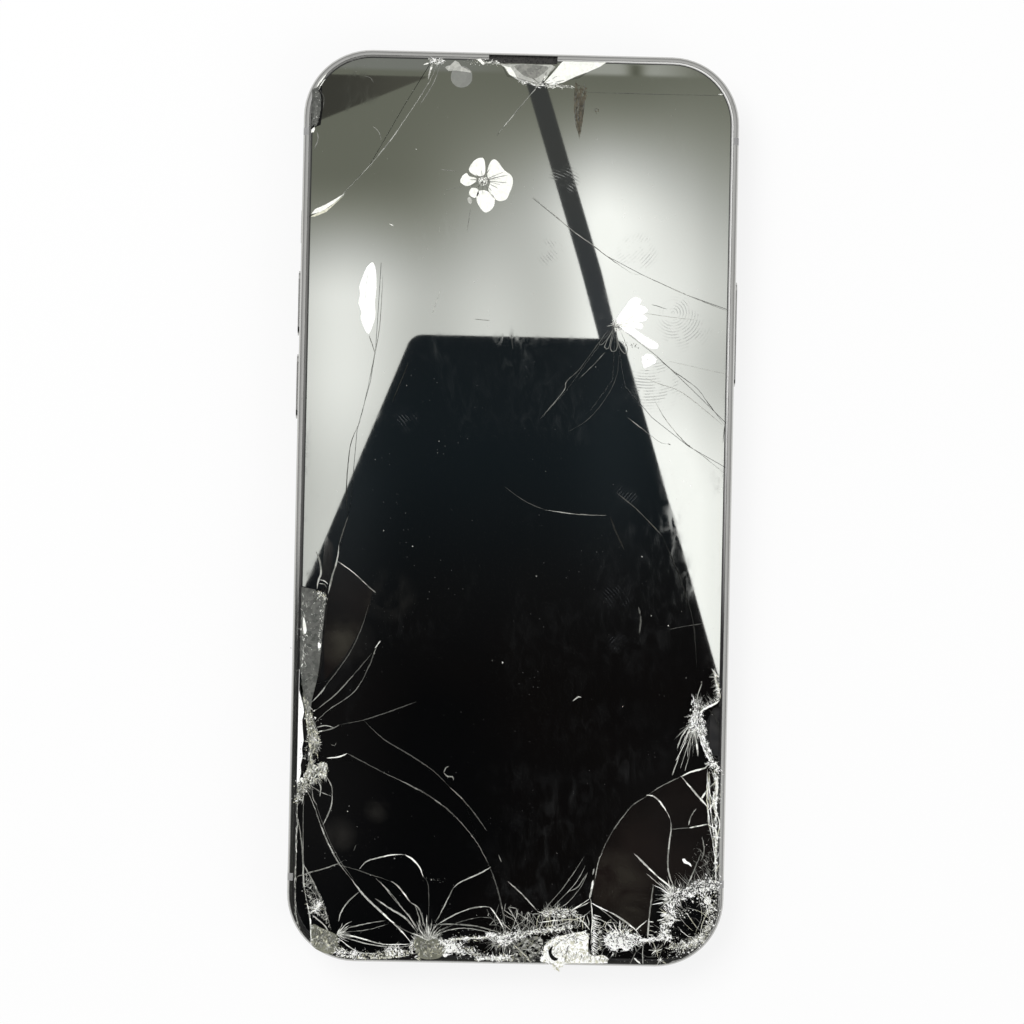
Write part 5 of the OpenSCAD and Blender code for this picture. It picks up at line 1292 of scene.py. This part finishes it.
veins = Bag()
LIFTED = GLASS_Z + 0.02
for angle, length in ((24, 3.6), (14, 4.2), (8, 3), (-4, 4), (-12, 3.2), (-26, 2.8), (-48, 2.2), (62, 2.2),
                      (100, 1.8), (140, 1.6), (176, 2.2), (205, 2.4), (235, 1.6), (270, 2), (300, 2.2)):
    turn = math.radians(angle)
    start = (-6.1 + 0.6 * math.cos(turn), 52.6 + 0.6 * math.sin(turn))
    tip = (-6.1 + length * math.cos(turn), 52.6 + length * math.sin(turn))
    strand(veins, [start, ((start[0] + tip[0]) / 2, (start[1] + tip[1]) / 2 + 0.06), tip], 0.09,
           ("grey", "dim"), z=LIFTED)
mosaic(veins, disc((-6.1, 52.6), 0.8, 9), 0.28, ("grey", "pale", "dim", "bright"), keep=0.95, z=LIFTED)
strand(veins, [(-24.2, 38), (-24.6, 34), (-24, 30.5), (-23.8, 28)], 0.06, "pale", z=LIFTED)
for tip in ((18.4, 33), (19.4, 31.9), (19.2, 30.6), (18.9, 29.4)):
    strand(veins, [(16.4, 29.8), tip], 0.06, "cream", z=LIFTED)
bundle(veins, [(15.5, 30), (16.1, 29.5)], 0.25, 60, (0.2, 0.8), 0.09, ("bright", "pale", "grey", "dim"), 1.5)
burst(veins, (15.8, 29.8), 16, (0.5, 1.5), 0.1, ("bright", "pale"))
grains(veins, near_line([(15.4, 30.2), (16.2, 29.4)], 50, 0.35), 0.12, ("bright", "grey", "ink"), z=LIFTED)
grains(veins, near_line([(16.8, 27.2), (18, 27), (19.2, 26.4)], 26, 0.2), 0.12, ("ink", "dim", "grey"),
       z=LIFTED)
strand(veins, [(20.3, 25.1), (20.9, 24.4), (21.8, 24.3)], 0.08, "grey", z=LIFTED)
for tip in ((-1.6, 69.6), (0, 70.6), (1, 70), (3.9, 70.6), (5, 71.4), (5.8, 70), (6.8, 69.2)):
    strand(veins, [(2.9, 68.4), ((2.9 + tip[0]) / 2, (68.4 + tip[1]) / 2 - 0.1), tip], 0.1,
           ("bright", "grey", "dim"), z=LIFTED)
bundle(veins, [(-0.5, 68.8), (2.8, 68.3), (5.4, 68.5)], 0.16, 90, (0.2, 0.8), 0.09,
       ("bright", "white", "grey"), 0.7)
bundle(veins, [(3.6, 68.2), (5.5, 68.1), (7.8, 68.2)], 0.12, 70, (0.2, 0.8), 0.08, ("bright", "pale"), 0.3)
grains(veins, near_line([(0.5, 68.7), (3, 68.4), (5, 68.7)], 40, 0.25), 0.12, ("bright", "grey", "ink"),
       z=LIFTED)
grains(veins, near_line([(-9, 71.7), (-3, 71.6)], 90, 0.3), 0.1, ("bright", "cream", "grey"))
bundle(veins, [(-14.9, 72), (-14, 71.6), (-13, 72)], 0.2, 80, (0.3, 0.9), 0.09, ("white", "bright", "pale"),
       1.0)
bundle(veins, [(-6.4, 71.9), (-5.4, 71.7), (-4, 71.8)], 0.14, 40, (0.2, 0.7), 0.09, ("bright", "pale"), 0.8)
strand(veins, [(-5.5, 72.2), (-5.7, 71.9), (-5.4, 71.62), (0, 71.6), (5.3, 71.62)], 0.07, ("grey", "dim"),
       z=GLASS_Z)
veins.piece("flake_veins")


# ---------------------------------------------------------------- glass lost at the edges, dust and dirt

LOST_LEFT = [(-33.9, -13.4), (-31.6, -13.8), (-31.4, -14.4), (-30, -14.3), (-29.9, -16.4), (-30.3, -20),
             (-30.5, -24), (-31, -28), (-31.7, -31), (-32.3, -33.6), (-33, -33), (-33.9, -30)]
bed = Bag()
plate(bed, LOST_LEFT, "glue", height=0.02, smooth=0)
whiskers(bed, [(-33.2, -14), (-33.1, -22), (-32.9, -31)], 70, (0.4, 1.6), 0.08, ("grey", "glue", "pale"),
         (1, -1), 1.2, 0.5)
bundle(bed, [(-33.4, -15), (-33.3, -20), (-33.4, -26)], 0.2, 90, (0.2, 1.0), 0.12, ("pale", "grey", "bright"),
       0.3)
bundle(bed, [(-31.6, -14.6), (-30.6, -14.6), (-30.1, -15.6)], 0.3, 70, (0.2, 0.6), 0.12,
       ("bright", "cream", "grey"), 1.2)
bundle(bed, [(-30.3, -16), (-30.7, -19.5), (-30.8, -23.4)], 0.16, 110, (0.15, 0.5), 0.12,
       ("bright", "pale", "grey"), 1.0)
plate(bed, [(-33.5, -18.3), (-33.2, -18.8), (-32.9, -20.4), (-33.2, -21), (-33.5, -20)], "bright",
      height=0.05)
plate(bed, [(-31, -22.3), (-30.6, -22.5), (-30.6, -23.1), (-31, -23.2)], "white", height=0.05)
grains(bed, near_line([(-32.6, -15.4), (-31.6, -17.4), (-33.1, -22.6), (-32.2, -28)], 70, 0.6), 0.1,
       ("pale", "bright", "grey"), z=LIFTED)
strand(bed, [(-29.75, -14), (-29.85, -17), (-30.2, -21), (-30.45, -25), (-30.9, -28.6)], 0.28, "ink",
       z=GLASS_Z + 0.01)
bed.piece("bared_adhesive")

edge = Bag()
WHITE_EDGE = [(-33.95, -26.6), (-33.7, -27), (-33.4, -29.6), (-33.2, -30.2), (-33.3, -32), (-33, -33.4),
              (-33.3, -34.8), (-33.2, -36.2), (-33, -38), (-33.25, -39.4), (-33.1, -40.6), (-33.4, -42),
              (-33.3, -43.2), (-33.6, -44.6), (-33.95, -45)]
plate(edge, WHITE_EDGE, "white", smooth=0)
grains(edge, near_line([(-33.5, -29), (-33.4, -44)], 36, 0.16), 0.16, ("ink", "dim", "grey"),
       z=GLASS_Z + 0.01)
strand(edge, [(-33.1, -34.6), (-32.7, -37), (-32.5, -39.6), (-32.9, -42), (-33.4, -44)], 0.5, "ink",
       z=GLASS_Z - 0.01)
bundle(edge, [(-33.8, -45), (-33.8, -52), (-33.85, -60)], 0.05, 120, (0.4, 1.6), 0.1,
       ("pale", "bright", "grey"), 0.05)
bundle(edge, [(-33.85, -60), (-33.6, -66), (-32.2, -70), (-30.4, -71.6)], 0.07, 90, (0.4, 1.4), 0.09,
       ("pale", "grey"), 0.1)
SLIVER = [(-33.9, 66.6), (-33.2, 67), (-32.5, 65.8), (-32.4, 63.6), (-33, 61), (-33.9, 60.2)]
plate(edge, SLIVER, "glue", smooth=0)
mosaic(edge, SLIVER, 0.4, ("grey", "dim", "glue"), keep=0.6, rise=0.04)
strand(edge, [(-33.2, 67), (-32.6, 68), (-31.6, 69.3)], 0.2, "bright")
strand(edge, [(-32.9, 66.6), (-32.4, 67.6), (-31.8, 68.4)], 0.12, ("pale", "bright"))
grains(edge, near_line([(-33.2, 66), (-33, 62.5), (-33.6, 60.6)], 40, 0.25), 0.12, ("bright", "pale", "ink"),
       z=LIFTED)
plate(edge, [(-33.9, 60.6), (-33.5, 61), (-33.3, 60.3), (-33.5, 59.8), (-33.9, 59.7)], "bright", smooth=0)
edge.piece("edge_slivers")

dust = Bag()
grains(dust, [(-17.4, -1.2), (-20.9, -4.1), (-3, -24.6), (-1.3, -24.9), (-32.7, -62.2), (20.8, -7.4),
              (25.3, -18.4)], 0.17, "bright")
grains(dust, [(12.7, 23), (17.8, 16), (-17.7, 19.3), (-22.5, 7.3), (-12.3, 10.5), (-25.5, -48.4),
              (-25.7, -49.3), (-24.1, -51.7), (-16.2, -6.5), (11, -6.7), (3.8, -10.9), (11.6, -12.6),
              (13.2, -12.8), (18.2, -31.6), (22.5, -16.9), (-18, -56.7), (-21.8, -59.4), (-17, -62.7),
              (-12.8, -59.6), (-12, -60), (8.1, -55.4), (-4.6, -65.6), (-2, -65.3), (-1.3, -66.3),
              (-24.2, 54.5), (-17, 57.4), (-12.5, 8.6), (5, 6), (27.4, -16.1), (28.3, -26.8), (30.8, -27.4)],
       0.13, ("pale", "bright"))
grains(dust, [(rng.uniform(-33, 33), rng.uniform(-71, 71)) for _ in range(700)], 0.045,
       ("grey", "dim", "dim"))
grains(dust, near_line([(-21, -11), (-19, -15), (-18, -19)], 110, 2.2), 0.05, ("dim", "grey"))
grains(dust, near_line([(6, 22), (10, 16), (12, 12)], 90, 3.0), 0.045, ("dim", "grey"))
grains(dust, near_line([(-13, -59.8), (-12, -60), (-10, -60.2)], 30, 0.4), 0.07, ("pale", "grey"))
for k in range(26):
    x = rng.uniform(8.4, 10.2)
    top, foot = rng.uniform(65.5, 69.4), rng.uniform(59.4, 64.4)
    strand(dust, [(x, top), (x - 0.2, (top + foot) / 2), (9.3 + (x - 9.3) * 0.3, foot)], 0.12,
           ("dirt", "dirt", "dim"), lift=0.004)
mosaic(dust, [(8.5, 68.8), (9.4, 68.4), (10.3, 68), (10.4, 66.6), (9.6, 65), (9.8, 63), (9.4, 60.5),
              (8.9, 62), (9, 64.6), (8.4, 66)], 0.3,
       "dirt", keep=0.5, rise=0.01)
mosaic(dust, disc((12, 64.3), 0.45, 8), 0.25, ("dirt", "dim"), keep=0.5, rise=0.01)
dust.piece("dust_and_dirt")

window = Bag()
plate(window, disc((-9.9, 69.3), 1.75), "veil", height=0.004, smooth=0)
window.piece("camera_window")


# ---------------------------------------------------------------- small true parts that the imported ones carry


def lathe(name, profile, centre, material, body):
    """A turned piece: profile is radius and height in mm, up the middle line from the rim."""
    count = 48
    points, faces = [], []
    for radius, height in profile:
        for k in range(count):
            angle = math.tau * k / count
            points.append((centre[0] + radius * math.cos(angle), centre[1] + radius * math.sin(angle),
                           height))
    for ring in range(len(profile) - 1):
        for k in range(count):
            a, b = ring * count + k, ring * count + (k + 1) % count
            faces.append((a, b, b + count, a + count))
    mesh = bpy.data.meshes.new(name)
    mesh.from_pydata([[c * MM for c in p] for p in points], [], faces)
    mesh.materials.append(material)
    mesh.polygons.foreach_set("use_smooth", [True] * len(faces))
    made = in_scene(name, mesh)
    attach(made, body)
    return made


def coated_lens():
    s = Shader("coated_lens")
    sheen = s.node("LayerWeight")
    sheen.inputs["Blend"].default_value = 0.35
    tint = s.blend(sheen.outputs["Facing"], (0.012, 0.02, 0.05), (0.06, 0.02, 0.07))
    haze = s.spread(s.noise(800, 2.0), 0.4, 0.7)
    return s.surface(Base_Color=s.blend(s.math("MULTIPLY", haze, 0.1), tint, (0.1, 0.12, 0.16)),
                     Roughness=0.04, IOR=1.7)


LENS = coated_lens()
DOME_R = 2.6
DOME_RISE = 0.34
DOME_STEPS = 8
for name in ("lens_barrel_upper", "lens_barrel_lower"):
    low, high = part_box(name)
    centre = ((low.x + high.x) / 2 / MM, (low.y + high.y) / 2 / MM)
    floor_z = low.z / MM + 0.35
    profile = [(DOME_R + 0.02, floor_z + 0.2)]
    for k in range(DOME_STEPS + 1):
        angle = k / DOME_STEPS * math.pi / 2
        profile.append((DOME_R * math.cos(angle) + 0.001, floor_z + 0.12 - DOME_RISE * math.sin(angle)))
    lathe(name.replace("barrel", "element"), profile, centre, LENS, name)


# ---------------------------------------------------------------- camera, stage and light

camera = in_scene("camera", bpy.data.cameras.new("camera"))
camera.location = (-0.010, -0.005, 0.45)
camera.rotation_euler = Euler([math.radians(a) for a in (0.537, -1.271, 1.201)])
camera.data.lens = 96.35
camera.data.sensor_width = 36
camera.data.clip_start = 0.01
bpy.context.scene.camera = camera


def staged(name, points, faces, material, colours=None):
    mesh = bpy.data.meshes.new(name)
    mesh.from_pydata(points, [], faces)
    mesh.materials.append(material)
    if colours:
        layer = mesh.color_attributes.new("glow", "FLOAT_COLOR", "POINT")
        layer.data.foreach_set("color", [c for colour in colours for c in (*colour, 1.0)])
    made = in_scene(name, mesh)
    return made


def white_ground():
    """Pale ground that renders white, yet keeps a fifth of its shading for the object's shadow."""
    s = Shader("white_ground")
    paper = s.node("BsdfDiffuse")
    paper.inputs["Color"].default_value = (0.9, 0.9, 0.9, 1)
    glow = s.glow((1.0, 1.0, 1.0))
    path = s.node("LightPath")
    seen_by = s.math("MAXIMUM", path.outputs["Is Camera Ray"], path.outputs["Is Glossy Ray"])
    seen_by = s.math("MAXIMUM", seen_by, path.outputs["Is Transmission Ray"])
    mixed = s.node("MixShader")
    s.put(s.math("MULTIPLY", seen_by, 0.8), mixed.inputs[0])
    s.tree.links.new(paper.outputs[0], mixed.inputs[1])
    s.tree.links.new(glow, mixed.inputs[2])
    return s.shown(mixed.outputs[0])


FLOOR_Z = cad_box[0].z - 0.00005
staged("ground", [(-3, -3, FLOOR_Z), (3, -3, FLOOR_Z), (3, 3, FLOOR_Z), (-3, 3, FLOOR_Z)], [(0, 1, 2, 3)],
       white_ground())

# The glass is a black mirror, so what hangs over it is what shows in it: a pale ceiling card, a dark strut,
# a dark wedge and a plain dark flag. Only glossy rays see these cards. They are brighter than white by as
# much as the mirror is weak, so they add to the gloss of the glass and of its damage. All else is left out.

# The share of light that the glass mirrors when it is seen from straight above
MIRROR = 0.0426


def glow_material():
    s = Shader("card_glow")
    colour = s.node("Attribute", attribute_name="glow")
    return s.shown(s.glow(colour.outputs["Color"], 1 / MIRROR))


GLOW = glow_material()
# How high the cards hang, in mm, each dark one in front of the ceiling
CEILING_Z, WEDGE_Z, STRUT_Z, FLAG_Z = 400, 396, 395, 390
LIT_BY_CARDS = bpy.data.collections.new("lit_by_cards")
for piece in list(bpy.context.scene.objects):
    is_damage = piece.name not in nodes and piece.name != "ground"
    if piece.type == "MESH" and (is_damage or piece.name == "cover_glass"):
        LIT_BY_CARDS.objects.link(piece)


def linear(level):
    level = max(0.0, level / 255)
    return level / 12.92 if level < 0.04045 else ((level + 0.055) / 1.055) ** 2.4


def overhead(x, y, height):
    """Where a card at this height has to be to show at x, y of the glass, in mm."""
    cx, cy, cz = (c / MM for c in camera.location)
    ratio = (height - GLASS_Z) / (cz - GLASS_Z)
    return ((x + (x - cx) * ratio) * MM, (y + (y - cy) * ratio) * MM, height * MM)


def only_mirrored(made):
    """Leaves an object to glossy rays alone."""
    made.visible_camera = False
    made.visible_diffuse = False
    made.visible_transmission = False
    made.visible_shadow = False
    return made


def card(name, rows, columns, left, right, height, shade):
    """A card between two edges given as x for each y, shaded by a function of x and y."""
    points, colours, faces = [], [], []
    for y in rows:
        a, b = left(y), right(y)
        for k in range(columns + 1):
            x = a + (b - a) * k / columns
            points.append(overhead(x, y, height))
            colours.append([linear(v) for v in shade(x, y)])
    wide = columns + 1
    for j in range(len(rows) - 1):
        for k in range(columns):
            a = j * wide + k
            faces.append((a, a + 1, a + wide + 1, a + wide))
    made = only_mirrored(staged(name, points, faces, GLOW, colours))
    made.light_linking.receiver_collection = LIT_BY_CARDS


def ease(value, low, high):
    t = min(1.0, max(0.0, (value - low) / (high - low)))
    return t * t * (3 - 2 * t)


def bell(value, centre, width):
    return math.exp(-(((value - centre) / width) ** 2))


def track(stops):
    """x as a straight-line function of y through the stops."""
    ordered = sorted(stops)

    def at(y):
        for (y0, x0), (y1, x1) in zip(ordered, ordered[1:]):
            if y <= y1:
                return x0 + (x1 - x0) * (y - y0) / (y1 - y0)
        return ordered[-1][1]

    return at


def ceiling(x, y):
    level = 100.0
    level += 128 * bell(x, -28, 15) * (1 - ease(y, 32, 54)) * (0.78 + 0.22 * ease(y, 0, 22))
    level += 140 * bell(x, 15, 10.5) * (1 - ease(y, 45, 70))
    level += 92 * bell(x, -4, 10) * (1 - ease(y, 26, 72))
    level += (104 * ease(x, 15, 29) * (1 - ease(y, 28, 76)) * (1 - 0.2 * bell(y, 24, 10))
              + 26 * ease(x, 18, 28) * (1 - ease(y, 0, 22)))
    level += 22 * bell(x, 7, 9) * bell(y, 50, 10)
    strip = ease(y, 70.1, 70.5)
    level += strip * (14 * (1 - ease(x, -12, 6)) + 48 * ease(x, 3, 10) * (1 - ease(x, 20, 32)))
    level -= strip * 62 * bell(x, 18.2, 1.9) ** 2
    level = min(level, 247)
    warm = 10 * (1 - ease(level, 100, 190)) * (1 - 0.9 * strip * (1 - ease(x, -12, 0)))
    return level - 1.5, level + 1, level - 5 - warm * 0.55


def outline_x(y):
    """Half the width of the glass at y, with its round corners."""
    corner = 9.8
    deep = max(0.0, abs(y) - (GLASS_Y - corner))
    return GLASS_X - corner + math.sqrt(max(0.0, corner * corner - deep * deep))


def spans(low, high, step):
    count = math.ceil((high - low) / step)
    return [low + (high - low) * i / count for i in range(count + 1)]


card(
    "ceiling_card",
    spans(-GLASS_Y, GLASS_Y, 0.6),
    120,
    lambda y: -outline_x(y),
    outline_x,
    CEILING_Z,
    ceiling,
)
card(
    "dark_strut",
    spans(26, 69, 1),
    2,
    track(((69, 0.4), (38.5, 10), (26, 13.6))),
    track(((69, 3.6), (38.5, 13.3), (26, 16.6))),
    STRUT_Z,
    lambda x, y: (56 - 8 * ease(60 - y, 0, 30), 58 - 6 * ease(60 - y, 0, 30), 56 - 2 * ease(60 - y, 0, 30)),
)
card(
    "dark_wedge",
    spans(61.8, 69.2, 0.6),
    4,
    track(((69.2, -32.8), (66, -33.6), (61.8, -33.9))),
    track(((69.2, -15.2), (61.8, -32.4))),
    WEDGE_Z,
    lambda x, y: (56 + 14 * ease(x, -30, -18), 56 + 14 * ease(x, -30, -18), 50 + 12 * ease(x, -30, -18)),
)
FLAG_TOP = 27.6
FLAG_ROUND = 1.6
FLAG_LEFT = track(((FLAG_TOP, -17), (-15, -GLASS_X), (-80, -GLASS_X)))
FLAG_RIGHT = track(((FLAG_TOP, 17), (-28, GLASS_X), (-80, GLASS_X)))


def flag_inset(y):
    """How far the rounded top corners of the flag draw its sides in."""
    rise = max(0.0, y - (FLAG_TOP - FLAG_ROUND))
    return FLAG_ROUND - math.sqrt(max(0.0, FLAG_ROUND * FLAG_ROUND - rise * rise))


def flag_shade(x, y):
    up = ease(y, -32, 16)
    base = 2 + 15 * up
    base += 8 * bell(x, 16, 7) * ease(y, -24, 4)
    base += 16 * bell(x, -28, 7) * ease(y, -42, -8) * (1 - 0.4 * ease(y, 0, 12))
    base += 11 * bell(x, -31, 9) * bell(y, -48, 16) + 9 * bell(x, 27, 9) * bell(y, -52, 14)
    blue = 9 * up
    return base, base + 0.7 * blue, base + blue


card(
    "dark_flag",
    spans(-GLASS_Y, 24, 0.7)[:-1] + spans(24, FLAG_TOP, 0.15),
    60,
    lambda y: max(FLAG_LEFT(y) + flag_inset(y), -outline_x(y) - 0.4),
    lambda y: min(FLAG_RIGHT(y) - flag_inset(y), outline_x(y) + 0.4),
    FLAG_Z,
    flag_shade,
)


def dark_material():
    s = Shader("hanging_dark")
    return s.shown(s.glow((0.035, 0.036, 0.034)))


DARK = dark_material()
HANGING_Z = 0.42


def hanging(name, x0, x1, y0, y1):
    """A plain dark sheet below or to the left, which shows in polished steel as a line. Metres."""
    corners = [(x0, y0, HANGING_Z), (x1, y0, HANGING_Z), (x1, y1, HANGING_Z), (x0, y1, HANGING_Z)]
    only_mirrored(staged(name, corners, [(0, 1, 2, 3)], DARK))


hanging("hanging_left", -1.2, -0.03, -0.16, -0.022)
hanging("hanging_below", -1.2, 0.35, -1.2, -0.132)


def studio_world():
    """Even white light, with a darker horizon where polished parts mirror it, and white behind everything."""
    world = bpy.data.worlds.new("world")
    world.use_nodes = True
    tree = world.node_tree
    background = tree.nodes["Background"]
    background.inputs["Color"].default_value = (1, 1, 1, 1)
    path = tree.nodes.new("ShaderNodeLightPath")
    place = tree.nodes.new("ShaderNodeTexCoord")
    axes = tree.nodes.new("ShaderNodeSeparateXYZ")
    tree.links.new(place.outputs["Generated"], axes.inputs[0])
    rise = tree.nodes.new("ShaderNodeMapRange")
    tree.links.new(axes.outputs["Z"], rise.inputs["Value"])
    for key, number in (("From Min", 0.0), ("From Max", 0.9), ("To Min", 0.3 - AMBIENT),
                        ("To Max", 0.75 - AMBIENT)):
        rise.inputs[key].default_value = number
    total = AMBIENT
    open_sky = 1 - AMBIENT
    for share, amount in (
        (path.outputs["Is Camera Ray"], open_sky),
        (path.outputs["Is Transmission Ray"], open_sky),
        (path.outputs["Is Glossy Ray"], rise.outputs[0]),
    ):
        added = tree.nodes.new("ShaderNodeMath")
        added.operation = "MULTIPLY_ADD"
        for value, socket in ((share, added.inputs[0]), (amount, added.inputs[1]), (total, added.inputs[2])):
            if isinstance(value, float):
                socket.default_value = value
            else:
                tree.links.new(value, socket)
        total = added.outputs[0]
    tree.links.new(total, background.inputs["Strength"])
    bpy.context.scene.world = world


AMBIENT = 0.6
studio_world()


def lamp(name, place, size, power):
    data = bpy.data.lights.new(name, "AREA")
    data.size = size
    data.energy = power
    made = in_scene(name, data)
    made.location = place
    made.rotation_euler = (-Vector(place)).to_track_quat("-Z", "Y").to_euler()
    made.visible_glossy = False


lamp("key", (-0.35, 0.35, 0.75), 0.5, 3.9)
lamp("fill", (0.6, -0.3, 0.5), 0.5, 1.2)

bpy.context.scene.view_settings.view_transform = "Standard"
